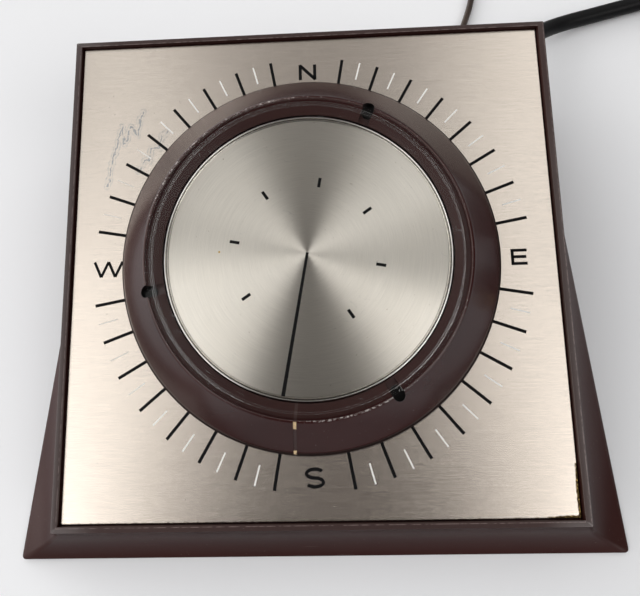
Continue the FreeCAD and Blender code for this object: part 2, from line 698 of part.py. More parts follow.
def make_brushes():
    """Insulating block on the mechanism plate with two bronze springs under the slip rings."""
    block("brush_block", (-23, -6, "frame_top"), (-15, 6, -18.9), FACE)
    body = new_body("brush_springs", FACE)
    for y, tip in ((-3, -4), (3, -7.4)):
        sketch = new_sketch(body, "XZ_Plane", lift=-y - 1.2)
        outline(sketch, [(-22, -18.9), (-14, -18.9), (tip - 2, -18.75), (tip, -18.6),
                         (tip, -18.3), (tip - 2, -18.45), (-14, -18.6), (-22, -18.6)])
        extrude(body, sketch, 2.4)
    bridge = new_sketch(body, lift=-18.9)
    rectangle(bridge, -22, -4.2, -20, 4.2)
    extrude(body, bridge, 0.3)


# ---------------------------------------------------------------- power parts

def make_transformer():
    """Laminated core standing on the bottom plate, bobbin and winding on its middle leg."""
    place = shifted(BASE, *TRANSFORMER, size(COVER_TOP))
    core = new_body("transformer_core", place)
    face = new_sketch(core, "XZ_Plane", lift=-11)
    rectangle(face, -20, 0, 20, 32)
    rectangle(face, -13.4, 6.7, -6.7, 25.3)
    rectangle(face, 6.7, 6.7, 13.4, 25.3)
    extrude(core, face, 22)
    bobbin = new_body("transformer_bobbin", place)
    shape = new_sketch(bobbin, lift=7)
    rectangle(shape, -13.2, -17.5, 13.2, 17.5)
    rectangle(shape, -6.8, -11.1, 6.8, 11.1)
    extrude(bobbin, shape, 18)
    waist = new_sketch(bobbin, lift=24)
    rectangle(waist, -14, -18.5, 14, 18.5)
    rectangle(waist, -7.6, -12, 7.6, 12)
    cut(bobbin, waist, 16)
    winding = new_body("transformer_winding", place)
    coil = new_sketch(winding, lift=8)
    rectangle(coil, -12.8, -17, 12.8, 17)
    rectangle(coil, -7.7, -12.1, 7.7, 12.1)
    extrude(winding, coil, 16)
    strap = new_body("transformer_strap", place)
    side = new_sketch(strap, "XZ_Plane", lift=-6)
    outline(side, [(-31, 0), (-20.1, 0), (-20.1, 32.1), (20.1, 32.1), (20.1, 0), (31, 0), (31, 1),
                   (21.1, 1), (21.1, 33.1), (-21.1, 33.1), (-21.1, 1), (-31, 1)])
    extrude(strap, side, 12)
    feet = new_sketch(strap, lift=1)
    circle(feet, -STRAP_HOLE, 0, 1.6)
    circle(feet, STRAP_HOLE, 0, 1.6)
    cut(strap, feet, 1)
    screw = screw_master("transformer_screw", 1.4, 2.8, 1.6, 2.4)
    group("transformer_screws", screw, [shifted(place, x, 0, 1) for x in (-STRAP_HOLE, STRAP_HOLE)])


def make_capacitor():
    """Motor phasing capacitor lying along the left side, held by a clamp."""
    rise = 10.3
    floor = size(COVER_TOP)
    turned("phasing_capacitor", [(0, 0), (8.8, 0), (9.5, 0.7), (9.5, 40), (8.9, 40.5), (8.4, 40),
                                 (0, 40)],
           Placement(Vector(CLAMP[0], -22, floor + rise), HEAD_BACK))
    clamp = new_body("capacitor_clamp", shifted(BASE, *CLAMP, floor))
    band = new_sketch(clamp, "XZ_Plane", lift=-4)
    circle(band, 0, rise, 10.2)
    circle(band, 0, rise, 9.55)
    extrude(clamp, band, 8)
    foot = new_sketch(clamp)
    rectangle(foot, 0.6, -4, 18, 4)
    circle(foot, CLAMP_HOLE, 0, 1.6)
    extrude(clamp, foot, 0.8)
    screw = screw_master("clamp_screw", 1.4, 2.8, 1.6, 2.2)
    group("capacitor_screw", screw, [shifted(BASE, CLAMP[0] + CLAMP_HOLE, CLAMP[1], floor + 0.8)])


WELLS = [6.5, 18.8, 31.2, 43.5]
WELL_FLOOR = -1.2


def make_terminals():
    """Terminal block in the back window: a plate and a screw in a well for each rotator wire."""
    gap = 0.2
    left, right = WINDOW["left"] + gap, WINDOW["right"] - gap
    low, high = WINDOW["low"] + gap, WINDOW["high"] - gap
    body = block("terminal_block", (left, -5.2, low), (right, 1.6, high), REAR)
    ears = on_rear_sketch(body, 0, BASE)
    rectangle(ears, left - 6.5, low + 3, right + 6.5, high - 3)
    for x, up in EAR_SCREWS:
        circle(ears, x, up, 1.4)
    extrude(body, ears, 1.6, back=True)
    wells = on_rear_sketch(body, 1.6, BASE)
    for x in WELLS:
        rectangle(wells, x - 5, low + 1.8, x + 5, high - 1.8)
    cut(body, wells, 1.6 - WELL_FLOOR, back=True)
    bores = on_rear_sketch(body, 1.6, BASE)
    for x in WELLS:
        circle(bores, x, 23, 1.7)
    cut(body, bores, 9, back=True)
    plates = new_body("terminal_plate", kept=False)
    face = on_rear_sketch(plates, 0, BASE)
    rectangle(face, -4, -7, 4, 5.5)
    circle(face, 0, 0, 1.7)
    extrude(plates, face, 0.8, back=True)
    group("terminal_plates", plates, [shifted(REAR, x, WELL_FLOOR, 23) for x in WELLS])
    screw = screw_master("terminal_screw", 1.7, 3.4, 1.8, 4.2)
    spots = [shifted(REAR, x, WELL_FLOOR + 0.8, 23) for x in WELLS]
    group("terminal_screws", screw, [spot.multiply(Placement(Vector(), HEAD_BACK)) for spot in spots])
    screw = screw_master("block_screw", 1.3, 2.6, 1.1, 5)
    spots = [shifted(REAR, x, 1.6, up) for x, up in EAR_SCREWS]
    group("block_screws", screw, [spot.multiply(Placement(Vector(), HEAD_BACK)) for spot in spots])


# ---------------------------------------------------------------- cords

BOOT_LONG, BOOT_ROOT = 20, 4.1
BOOT_WAY = Vector(0.574, 0.81, -0.12)
REST, LEAD_REST = size("cord_width / 2"), size("lead_width / 2")
MAINS_ROUTE = [(83.8, 103.6, 11.2), (91.8, 113.2, 7.2), (103.5, 121, 3.6), (121, 127, REST),
               (141, 132.4, REST), (163, 138, REST), (184, 143.5, REST)]
TAIL_ROUTE = [(241.3, 83.2, 9.75), (235.5, 68.3, 9.9), (229, 54.5, 8), (221.5, 41.5, 5.9),
              (213.3, 30, 5.5), (205, 19.1, 7)]
COIL = {"centre": (197.7, 99.1), "outer": 46.4, "inner": 22.5}
PLUG_HEADING = 142.8
LEAD_ROUTE = [(43.5, 76.2, 17.8), (44.6, 84, 17.2), (47.2, 92, 14.2), (51.5, 100.5, 9.2),
              (56, 109, 4.6), (60.5, 118.5, 1.9), (64.8, 129, LEAD_REST), (69, 141, LEAD_REST),
              (71.9, 154.5, LEAD_REST), (72.2, 168.5, LEAD_REST)]
LEAD_TAIL_ROUTE = [(102.2, 195.2, 3.9), (111.5, 190.2, 3.6), (120.5, 186.6, 2.1),
                   (129, 184.6, LEAD_REST)]
LEAD_COIL = {"centre": (92.2, 178), "outer": 20, "inner": 9.2}


def arc_path(points):
    """Straight runs joined by tangent arcs, each as large as its two runs allow."""
    points = [Vector(*point) for point in points]
    edges, radii, start = [], [], points[0]
    for before, corner, after in zip(points, points[1:], points[2:]):
        into, out = corner - before, after - corner
        reach = 0.45 * min(into.Length, out.Length)
        half_turn = into.getAngle(out) / 2
        radius = reach / math.tan(half_turn)
        into.normalize()
        out.normalize()
        inward = out - into
        inward.normalize()
        first, last = corner - into * reach, corner + out * reach
        middle = corner + inward * (radius / math.cos(half_turn) - radius)
        edges.append(Part.LineSegment(start, first).toShape())
        edges.append(Part.Arc(first, middle, last).toShape())
        radii.append(radius)
        start = last
    edges.append(Part.LineSegment(start, points[-1]).toShape())
    return Part.Wire(edges), radii


def tube(label, points, width):
    """A round tube along the path, with its volume compared with section times length."""
    path, radii = arc_path(points)
    ring = Part.Wire(Part.makeCircle(width / 2, Vector(*points[0]),
                                     Vector(*points[1]) - Vector(*points[0])))
    shape = path.makePipeShell([ring], True, False)
    expected = math.pi * width ** 2 / 4 * path.Length
    if abs(shape.Volume / expected - 1) > 0.01:
        raise ValueError(f"{label} has the wrong volume")
    print(f"{label}: {path.Length:.1f} mm, radii", " ".join(f"{radius:.0f}" for radius in radii))
    return solid_node(label, shape)


def coil_solid(label, coil, width):
    """Two layers of neat turns as one closed ring with bevelled edges."""
    inner, outer = coil["inner"] - width / 2, coil["outer"] + width / 2
    high, edge = 2 * width, 0.3 * width
    turned(label, [(inner + edge, 0), (outer - edge, 0), (outer, edge), (outer, high - edge),
                   (outer - edge, high), (inner + edge, high), (inner, high - edge), (inner, edge)],
           shifted(BASE, *coil["centre"], 0))


def make_mains():
    """Tapered strain relief, cord to a put-away coil, and the plug beside it."""
    width = size("cord_width")
    root = REAR.multVec(Vector(CORD_HOLE["x"], 0, CORD_HOLE["high"]))
    out = REAR.Rotation.multVec(Y_AXIS)
    way = Vector(BOOT_WAY)
    way.normalize()
    start = root + out * 1.5
    collar = Part.makeCylinder(CORD_HOLE["radius"] - 0.1, 7, root - out * 6, out)
    flange = Part.makeCylinder(8.2, 2, root, out)
    boot = Part.makeCone(5.8, 4.4, BOOT_ROOT + BOOT_LONG, start - way * BOOT_ROOT, way)
    tip = start + way * BOOT_LONG
    relief = collar.fuse([flange, boot]).removeSplitter()
    solid_node("strain_relief", relief)
    tube("mains_cord", [tuple(tip)] + MAINS_ROUTE, width)
    coil_solid("mains_cord_coil", COIL, width)
    tube("mains_cord_tail", TAIL_ROUTE, width)
    make_plug()


def make_plug():
    """Moulded plug with a tapered neck and two flat blades, +Y pointing out of it."""
    place = shifted(BASE, *TAIL_ROUTE[-1], PLUG_HEADING)
    grip = Part.makeBox(24, 30, 14, Vector(-12, 12, -7))
    grip = grip.makeFillet(2.5, grip.Edges)
    neck = Part.makeCone(4.4, 6.6, 14, Vector(), Y_AXIS)
    solid_node("plug_body", grip.fuse(neck).removeSplitter()).Placement = place
    blades = [Part.makeBox(1.5, 17, 6.4, Vector(side * 6.35 - 0.75, 42, -3.2)) for side in (-1, 1)]
    solid_node("plug_blades", Part.makeCompound(blades)).Placement = place


def make_lead():
    """Thin lead to the rotator: from the last terminal to a small coil, with bare wire tips."""
    width = size("lead_width")
    tube("rotator_lead", LEAD_ROUTE, width)
    coil_solid("rotator_lead_coil", LEAD_COIL, width)
    tube("rotator_lead_tail", LEAD_TAIL_ROUTE, width)
    end, before = Vector(*LEAD_TAIL_ROUTE[-1]), Vector(*LEAD_TAIL_ROUTE[-2])
    way = end - before
    way.normalize()
    side = way.cross(Z_AXIS)
    tips = [Part.makeCylinder(0.4, 9, end + side * shift, way) for shift in (-0.65, 0.65)]
    solid_node("lead_tips", Part.makeCompound(tips))


# ---------------------------------------------------------------- build, test and write

def test_document():
    """Stops if any object has failed or any piece's shape is missing or invalid."""
    for thing in doc.Objects:
        if "Invalid" in thing.State or "Error" in thing.State:
            raise ValueError(f"{thing.Name} failed: {thing.State}")
    for label, node in NODES.items():
        if node.Shape.isNull() or not node.Shape.isValid() or not node.Shape.Solids:
            raise ValueError(f"{label} has no valid shape")


def main():
    make_housing()
    make_faceplate()
    make_bottom()
    make_bushing()
    make_knob()
    make_knob_fittings()
    make_dial()
    idler, pinion = make_gears()
    make_mechanism(idler, pinion)
    make_transformer()
    make_capacitor()
    make_terminals()
    make_mains()
    make_lead()
    doc.recompute()
    test_document()
    os.makedirs("parts", exist_ok=True)
    for label, node in NODES.items():
        node.Shape.exportStep(f"parts/{label}.step")
    print(len(NODES), "pieces written")


main()
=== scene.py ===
"""Antenna rotator controller: surfaces, finishes and studio round the fixed frame."""

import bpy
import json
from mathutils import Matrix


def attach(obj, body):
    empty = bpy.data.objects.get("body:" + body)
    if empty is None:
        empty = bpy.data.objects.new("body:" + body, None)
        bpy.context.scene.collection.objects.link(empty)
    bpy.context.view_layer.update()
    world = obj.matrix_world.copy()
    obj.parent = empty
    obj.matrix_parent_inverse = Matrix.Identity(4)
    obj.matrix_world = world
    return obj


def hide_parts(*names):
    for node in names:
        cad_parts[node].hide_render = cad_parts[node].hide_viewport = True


bl_info = {
    "name": "Antenna rotator controller",
    "version": (1, 0, 0),
    "blender": (4, 5, 0),
    "location": "3D View > Sidebar > Rotator",
    "description": "Dresses the rotator controller's frame with its surfaces and finishes",
    "category": "Object",
}

import json
import math

import bmesh
import bpy
import numpy as np
from bpy.props import FloatProperty, FloatVectorProperty, PointerProperty
from mathutils import Matrix

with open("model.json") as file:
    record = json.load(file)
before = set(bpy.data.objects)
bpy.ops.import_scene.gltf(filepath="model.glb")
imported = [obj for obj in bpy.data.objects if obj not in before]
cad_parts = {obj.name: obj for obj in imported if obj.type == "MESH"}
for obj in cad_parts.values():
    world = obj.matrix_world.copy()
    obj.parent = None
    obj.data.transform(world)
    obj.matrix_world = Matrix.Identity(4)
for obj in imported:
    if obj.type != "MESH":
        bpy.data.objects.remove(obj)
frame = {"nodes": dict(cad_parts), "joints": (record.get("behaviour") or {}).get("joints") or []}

MM = 0.001
SPINDLE = next(joint for joint in frame["joints"] if joint["name"] == "knob_turn")
TILT = math.atan2(-SPINDLE["axis"][1], SPINDLE["axis"][2])
FACE_ORIGIN = np.array(SPINDLE["pos_m"])
REAR_SLOPE = math.radians(7.97)
REAR_ORIGIN = np.array((0, 0.07904, 0.0008))


# ---------------------------------------------------------------- surfaces

def turned(points, angle):
    """Points turned about X by an angle."""
    c, s = math.cos(angle), math.sin(angle)
    return points @ np.array([[1, 0, 0], [0, c, s], [0, -s, c]])


def spun(points, angle):
    """Points turned about Z by an angle."""
    c, s = math.cos(angle), math.sin(angle)
    return points @ np.array([[c, s, 0], [-s, c, 0], [0, 0, 1]])


def on_face(points):
    """Face coordinates in millimetres (x right, y up the slope, z out) to the part's frame."""
    return turned(np.asarray(points, float) * MM, TILT) + FACE_ORIGIN


def on_rear(points):
    """Back wall coordinates in millimetres (x right, y out, z up the wall) to the part's frame."""
    return turned(np.asarray(points, float) * MM, REAR_SLOPE) + REAR_ORIGIN


def rounded(corners, steps=5):
    """A closed outline of (a, b, reach) corners. Each corner P becomes the quadratic curve
    (1-t)^2 P0 + 2t(1-t) P + t^2 P2, where P0 and P2 lie reach away from it on its two sides."""
    table = np.array(corners, float)
    points, reach = table[:, :2], table[:, 2:]
    before, after = np.roll(points, 1, 0) - points, np.roll(points, -1, 0) - points
    start = points + before / np.linalg.norm(before, axis=1, keepdims=True) * reach
    end = points + after / np.linalg.norm(after, axis=1, keepdims=True) * reach
    t = np.linspace(0, 1, steps)[None, :, None]
    curve = (1 - t) ** 2 * start[:, None] + 2 * t * (1 - t) * points[:, None] + t ** 2 * end[:, None]
    return curve.reshape(-1, 2)


def lathe(profile, headings):
    """A profile of (radius, height) turned about Z: x = r sin h, y = r cos h, z = height."""
    radius, height = profile.T
    return np.stack([np.outer(radius, np.sin(headings)), np.outer(radius, np.cos(headings)),
                     np.outer(height, np.ones_like(headings))], -1)


def full_turn(count):
    """Headings evenly spaced round a circle."""
    return np.arange(count) * 2 * math.pi / count


def smooth_step(value, low, high):
    """0 below low, 1 above high, and 3t^2 - 2t^3 between."""
    t = np.clip((value - low) / (high - low), 0, 1)
    return t * t * (3 - 2 * t)


class Surface:
    """Grids of points gathered into one mesh."""

    def __init__(self):
        self.points, self.faces, self.count = [], [], 0

    def add(self, grid, around=True, along=True, kept=None):
        """A grid of rows and columns as quads, closed round its rows and columns where asked.
        kept drops cells: a true or false value for each row and column."""
        rows, columns = grid.shape[:2]
        i, j = np.meshgrid(np.arange(rows if along else rows - 1),
                           np.arange(columns if around else columns - 1), indexing="ij")
        if kept is not None:
            chosen = kept[i, j]
            i, j = i[chosen], j[chosen]
        below, right = (i + 1) % rows, (j + 1) % columns
        quads = np.stack([i * columns + j, i * columns + right,
                          below * columns + right, below * columns + j], -1)
        self.points.append(grid.reshape(-1, 3))
        self.faces.append(quads.reshape(-1, 4) + self.count)
        self.count += rows * columns
        return self

    def join(self, one, other):
        """Quads between two runs of point numbers of the same length."""
        self.faces.append(np.stack([one[:-1], one[1:], other[1:], other[:-1]], -1))

    def piece(self, name, material, sharp=32.0):
        """The mesh, its doubles merged and its faces outwards, as an object at the origin."""
        mesh = bpy.data.meshes.new(name)
        mesh.from_pydata(np.concatenate(self.points).tolist(), [],
                         np.concatenate(self.faces).tolist())
        work = bmesh.new()
        work.from_mesh(mesh)
        bmesh.ops.remove_doubles(work, verts=work.verts, dist=2e-6)
        bmesh.ops.dissolve_degenerate(work, edges=work.edges, dist=1e-7)
        bmesh.ops.recalc_face_normals(work, faces=work.faces)
        work.to_mesh(mesh)
        work.free()
        mesh.shade_smooth()
        mesh.set_sharp_from_angle(angle=math.radians(sharp))
        mesh.materials.append(material)
        piece = bpy.data.objects.new(name, mesh)
        bpy.context.scene.collection.objects.link(piece)
        return piece


def place(piece, body, slot, *nodes):
    """Rides the piece on its body and hides the frame's nodes it stands for; the slot is not used."""
    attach(piece, body)
    if nodes:
        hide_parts(*nodes)
    return piece


def rectangle_rule(fixed, count, corner_steps=6):
    """Column rules for a rounded rectangle, anticlockwise from the front's left end: rows of
    fixed x, stretched x share, y share and the corner's outward direction."""
    inner = np.array(fixed, float)
    outer = np.linspace(0, 1, 5)[1:]
    reach = inner.max()
    x_fixed = np.concatenate([np.full(4, -reach), inner, np.full(4, reach)])
    x_share = np.concatenate([-outer[::-1], np.zeros(len(inner)), outer])
    side = np.linspace(-1, 1, count + 2)[1:-1]
    arc = np.linspace(0, math.pi / 2, corner_steps)[1:-1]
    rows = []

    def run(x0, xs, ys, nx, ny):
        """Adds one side's or corner's rows."""
        rows.append(np.stack(np.broadcast_arrays(x0, xs, ys, nx, ny), -1).astype(float))

    run(x_fixed, x_share, -1, 0, -1)
    run(reach, 1, -1, np.sin(arc), -np.cos(arc))
    run(reach, 1, np.concatenate([[-1], side, [1]]), 1, 0)
    run(reach, 1, 1, np.cos(arc), np.sin(arc))
    run(x_fixed[::-1], x_share[::-1], 1, 0, 1)
    run(-reach, -1, 1, -np.sin(arc), np.cos(arc))
    run(-reach, -1, np.concatenate([[1], side[::-1], [-1]]), -1, 0)
    run(-reach, -1, -1, -np.cos(arc), -np.sin(arc))
    return np.concatenate(rows), reach


def rectangle_points(rule, half_width, half_length, radius):
    """x = fixed + share (w - r - reach) + r nx and y = share (l - r) + r ny, for each row."""
    columns, reach = rule
    x0, xs, ys, nx, ny = columns.T
    w, l, r = (np.asarray(v, float)[:, None] for v in (half_width, half_length, radius))
    return x0 + xs * (w - r - reach) + r * nx, ys * (l - r) + r * ny


# ---------------------------------------------------------------- shader maths

class Value:
    """A shader socket that takes part in Python arithmetic through Math nodes."""

    def __init__(self, finish, socket):
        self.finish, self.socket = finish, socket

    def maths(self, operation, *others):
        """This value and others through a Math node."""
        return self.finish.maths(operation, self, *others)

    def __add__(self, other):
        return self.maths("ADD", other)

    __radd__ = __add__

    def __mul__(self, other):
        return self.maths("MULTIPLY", other)

    __rmul__ = __mul__

    def __sub__(self, other):
        return self.maths("SUBTRACT", other)

    def __rsub__(self, other):
        return self.finish.maths("SUBTRACT", other, self)

    def __truediv__(self, other):
        return self.maths("DIVIDE", other)

    def __rtruediv__(self, other):
        return self.finish.maths("DIVIDE", other, self)

    def __pow__(self, other):
        return self.maths("POWER", other)

    def __abs__(self):
        return self.maths("ABSOLUTE")

    def between(self, low, high):
        """0 at low, 1 at high and a smooth step between; low may be the larger."""
        return self.finish.node("ShaderNodeMapRange", {"interpolation_type": "SMOOTHSTEP"},
                                {"Value": self, "From Min": low, "From Max": high})


def distance(x, y):
    """Distance from the axis: the root of x x + y y."""
    return (x * x + y * y) ** 0.5


def outward(x, y, heading):
    """How far out along a compass heading: x sin h + y cos h."""
    h = math.radians(heading)
    return x * math.sin(h) + y * math.cos(h)


def aside(x, y, heading):
    """How far aside from a compass heading: x cos h - y sin h."""
    h = math.radians(heading)
    return x * math.cos(h) - y * math.sin(h)


def toward(x, y, radius, heading, wide, narrow):
    """1 near a compass heading and 0 away from it: a step in the cosine of the angle between."""
    cosine = outward(x, y, heading) / radius
    return cosine.between(math.cos(math.radians(wide)), math.cos(math.radians(narrow)))


def scaled(tint, factor):
    """A colour, each of its three numbers times a factor."""
    return tuple(c * factor for c in tint)


class Nodes:
    """A node tree being put together, and the one way to add a node to it."""

    def __init__(self, tree):
        self.tree = tree
        tree.nodes.clear()

    def node(self, kind, settings=None, sockets=None, output=0):
        """A node with its settings made first, then its sockets' values or links."""
        made = self.tree.nodes.new(kind)
        for key, value in (settings or {}).items():
            setattr(made, key, value)
        for key, value in (sockets or {}).items():
            if isinstance(value, Value):
                self.tree.links.new(value.socket, made.inputs[key])
            else:
                made.inputs[key].default_value = value
        return Value(self, made.outputs[output]) if made.outputs else None

    def maths(self, operation, *values):
        """A Math node on values and plain numbers."""
        return self.node("ShaderNodeMath", {"operation": operation}, dict(enumerate(values)))

    def mix(self, share, low, high):
        """From the low colour to the high one as share goes from 0 to 1."""
        return self.node("ShaderNodeMix", {"data_type": "RGBA"},
                         {0: share, 6: opaque(low), 7: opaque(high)}, 2)

    def layers(self, base, *over):
        """A base colour with (share, colour) layers mixed in over it, one after another."""
        for share, tint in over:
            base = self.mix(share, base, tint)
        return base

    def split(self, vector):
        """The x, y and z of a vector."""
        made = self.node("ShaderNodeSeparateXYZ", None, {0: vector}).socket.node
        return [Value(self, socket) for socket in made.outputs]


class Finish(Nodes):
    """A material: patterns in object coordinates, and the Principled shader that they feed."""

    def __init__(self, name):
        self.material = bpy.data.materials.new(name)
        self.material.use_nodes = True
        super().__init__(self.material.node_tree)

    def joined(self, x, y, z):
        """A vector from its x, y and z."""
        return self.node("ShaderNodeCombineXYZ", None, {0: x, 1: y, 2: z})

    def place(self, origin=(0, 0, 0), tilt=0.0):
        """Object coordinates in millimetres from an origin, turned back by a tilt about X."""
        here = self.node("ShaderNodeTexCoord", output="Object")
        return self.node("ShaderNodeMapping", {"vector_type": "TEXTURE"},
                         {"Vector": here, "Location": tuple(origin), "Rotation": (tilt, 0, 0),
                          "Scale": (MM, MM, MM)})

    def on_face(self):
        """Face coordinates in millimetres: x right, y up the slope, z out."""
        return self.place(FACE_ORIGIN, TILT)

    def noise(self, vector, scale, detail=2.0, roughness=0.5):
        """Smooth noise about one half, scale times as fine as one to the millimetre."""
        return self.node("ShaderNodeTexNoise", None,
                         {"Vector": vector, "Scale": scale, "Detail": detail,
                          "Roughness": roughness})

    def bump(self, height, distance, strength):
        """A normal from heights; distance is in metres."""
        return self.node("ShaderNodeBump", None,
                         {"Height": height, "Distance": distance, "Strength": strength})

    def surface(self, sockets):
        """The Principled shader with these sockets, wired to the output."""
        shader = self.node("ShaderNodeBsdfPrincipled", None, sockets)
        self.node("ShaderNodeOutputMaterial", None, {"Surface": shader})
        return self.material


def opaque(colour):
    """A colour socket's four numbers, or the socket's link as it is."""
    return colour if isinstance(colour, Value) or len(colour) == 4 else (*colour, 1.0)


# ---------------------------------------------------------------- settings

def length(name, default, description):
    """A length setting whose default is given in millimetres."""
    return FloatProperty(name=name, default=default * MM, unit="LENGTH", precision=4,
                         description=description)


def colour(name, default, description):
    """A colour setting."""
    return FloatVectorProperty(name=name, default=default, subtype="COLOR", min=0, max=1,
                               description=description)


class CaseSettings(bpy.types.PropertyGroup):
    """Sizes and colours of the case and the face plate."""
    lip_half: length("Lip half width", 74.8, "Half the outer width of the raised lip")
    lip_height: length("Lip height", 1.5, "Height of the lip above the plate")
    base_half: length("Base half width", 89.8, "Half the width at the foot of the skirt")
    corner: length("Corner radius", 1.2, "Radius of the skirt's corners")
    plate_half: length("Plate half width", 72.5, "Half the width of the face plate")
    plastic: colour("Case plastic", (0.030, 0.0092, 0.0080), "Colour of the moulded case")
    plate: colour("Plate metal", (0.87, 0.785, 0.70), "Tint of the brushed face plate")
    ink: colour("Print", (0.0025, 0.0025, 0.003), "Colour of the black print")
    white: colour("White print", (0.86, 0.85, 0.82), "Colour of the white five degree ticks")


class KnobSettings(bpy.types.PropertyGroup):
    """Sizes and colours of the setting knob and its window."""
    rim: length("Rim radius", 55.3, "Largest radius of the knob")
    crest: length("Crest radius", 45.3, "Radius of the ring's crest")
    index: FloatProperty(name="Index heading", default=185.0, min=0, max=360,
                         description="Compass heading of the index groove, degrees")
    plastic: colour("Knob plastic", (0.0255, 0.0078, 0.0074), "Colour of the moulded knob")


class DialSettings(bpy.types.PropertyGroup):
    """Sizes and colours of the dial disc."""
    disc: length("Disc radius", 40.6, "Radius of the spun disc")
    pointer: FloatProperty(name="Pointer heading", default=190.6, min=0, max=360,
                           description="Compass heading of the pointer line, degrees")
    metal: colour("Dial metal", (0.78, 0.745, 0.675), "Tint of the spun disc")


class CordSettings(bpy.types.PropertyGroup):
    """Sizes and colours of the two cords."""
    mains: length("Mains cord", 6.5, "Diameter of the mains cord")
    lead: length("Rotator lead", 2.6, "Diameter of the rotator lead")
    mains_colour: colour("Mains cord colour", (0.0045, 0.0045, 0.005), "Colour of the cord")
    lead_colour: colour("Lead colour", (0.045, 0.033, 0.027), "Colour of the thin lead")


class StudioSettings(bpy.types.PropertyGroup):
    """The room's light and the floor."""
    room_light: FloatProperty(name="Room light", default=1.0, min=0,
                              description="Strength of the light that the room gives")
    floor: colour("Floor", (0.87, 0.885, 0.915), "Colour of the floor")


GROUPS = {"rotator_case": CaseSettings, "rotator_knob": KnobSettings,
          "rotator_dial": DialSettings, "rotator_cords": CordSettings,
          "rotator_studio": StudioSettings}


# ---------------------------------------------------------------- finishes

def moulded_plastic(name, tint, rough):
    """Moulded plastic with slight flow marks and fine dust."""
    finish = Finish(name)
    here = finish.place()
    cloud = finish.noise(here, 0.03, 3)
    fine = finish.noise(here, 0.9, 4)
    dust = finish.noise(here, 2.6, 3, 0.7).between(0.66, 0.74)
    base = finish.mix(cloud.between(0.3, 0.7), tint, scaled(tint, 1.35))
    return finish.surface({
        "Base Color": finish.mix(dust * 0.12, base, (0.30, 0.27, 0.25)),
        "Roughness": fine * 0.12 + cloud * 0.08 + (rough - 0.10),
        "Normal": finish.bump(fine, 0.00004, 0.35)})


def plain_finish(name, tint, rough, metal):
    """A finish for inner and small parts: slight clouding and a fine grain."""
    finish = Finish(name)
    here = finish.place()
    cloud = finish.noise(here, 0.12, 3)
    fine = finish.noise(here, 0.6, 4)
    return finish.surface({
        "Base Color": finish.mix(cloud, scaled(tint, 0.82), tint),
        "Roughness": fine * 0.14 + (rough - 0.07),
        "Metallic": metal,
        "Normal": finish.bump(fine, 0.00003, 0.5)})


# ---------------------------------------------------------------- cords

MAINS_TIP = np.array((77.39, 94.70, 12.45))
MAINS_ROUTE = [(83.8, 104.2, 11.2), (91.8, 115.4, 7.8), (103.5, 123.5, 4.2), (121, 129.2, 3.25),
               (141, 135, 3.25), (163, 140.2, 3.25), (184, 144.6, 3.25)]
TAIL_ROUTE = [(235.5, 68.3, 9.9), (229, 54.5, 8), (221.5, 41.5, 5.9),
              (213.3, 30, 5.5), (205, 19.1, 7)]
LEAD_ROUTE = [(43.5, 76.2, 17.8), (44.6, 84, 17.2), (47.2, 92, 14.2), (51.5, 100.5, 9.2),
              (56, 109, 4.6), (60.5, 118.5, 1.9), (64.8, 129, 1.3), (69, 141, 1.3),
              (71.9, 154.5, 1.3), (72.2, 168.5, 1.3)]
LEAD_TAIL_ROUTE = [(111.5, 190.2, 3.6), (120.5, 186.6, 2.1), (129, 184.6, 1.3)]
PER_TURN = 16


def coil_turns(centre, outer, inner, start, turns, width):
    """Two layers of clockwise turns as control points. With q going from 0 to 2, the radius
    is outer - (outer - inner)(1 - |q - 1|), a whole layer's height is gained near q = 1, and
    the angle falls by 2 pi turns q. A control point lies 1 / cos(pi / n) times further out."""
    q = np.linspace(0, 2, int(round(2 * turns * PER_TURN)) + 1)[1:]
    radius = outer - (outer - inner) * (1 - np.abs(q - 1))
    radius /= math.cos(math.pi / PER_TURN)
    angle = math.radians(start) - 2 * math.pi * turns * q
    height = width / 2 + width * smooth_step(q, 0.93, 1.07)
    return np.stack([centre[0] + radius * np.cos(angle), centre[1] + radius * np.sin(angle),
                     height], -1)


def cord_curve(name, points, diameter, material):
    """A round cord along a smooth NURBS line with these control points, in millimetres."""
    curve = bpy.data.curves.new(name, "CURVE")
    curve.dimensions = "3D"
    spline = curve.splines.new("NURBS")
    spline.points.add(len(points) - 1)
    spline.points.foreach_set("co", np.column_stack([points * MM, np.ones(len(points))]).ravel())
    spline.order_u = 3
    spline.use_endpoint_u = True
    curve.resolution_u = 6
    curve.bevel_depth = diameter / 2
    curve.bevel_resolution = 3
    curve.use_fill_caps = True
    curve.materials.append(material)
    cord = bpy.data.objects.new(name, curve)
    bpy.context.scene.collection.objects.link(cord)
    return cord


def rubber_finish(name, tint, streak, rough):
    """Satin rubber, rubbed paler in streaks and clouds."""
    finish = Finish(name)
    here = finish.place()
    fine = finish.noise(here, 1.4, 4)
    wear = finish.noise(here, 0.16, 4, 0.6).between(0.45, 0.72)
    return finish.surface({
        "Base Color": finish.mix(wear * 0.4, tint, streak),
        "Roughness": fine * 0.16 + (rough - 0.08),
        "IOR": 1.22,
        "Normal": finish.bump(fine, 0.00005, 0.4)})


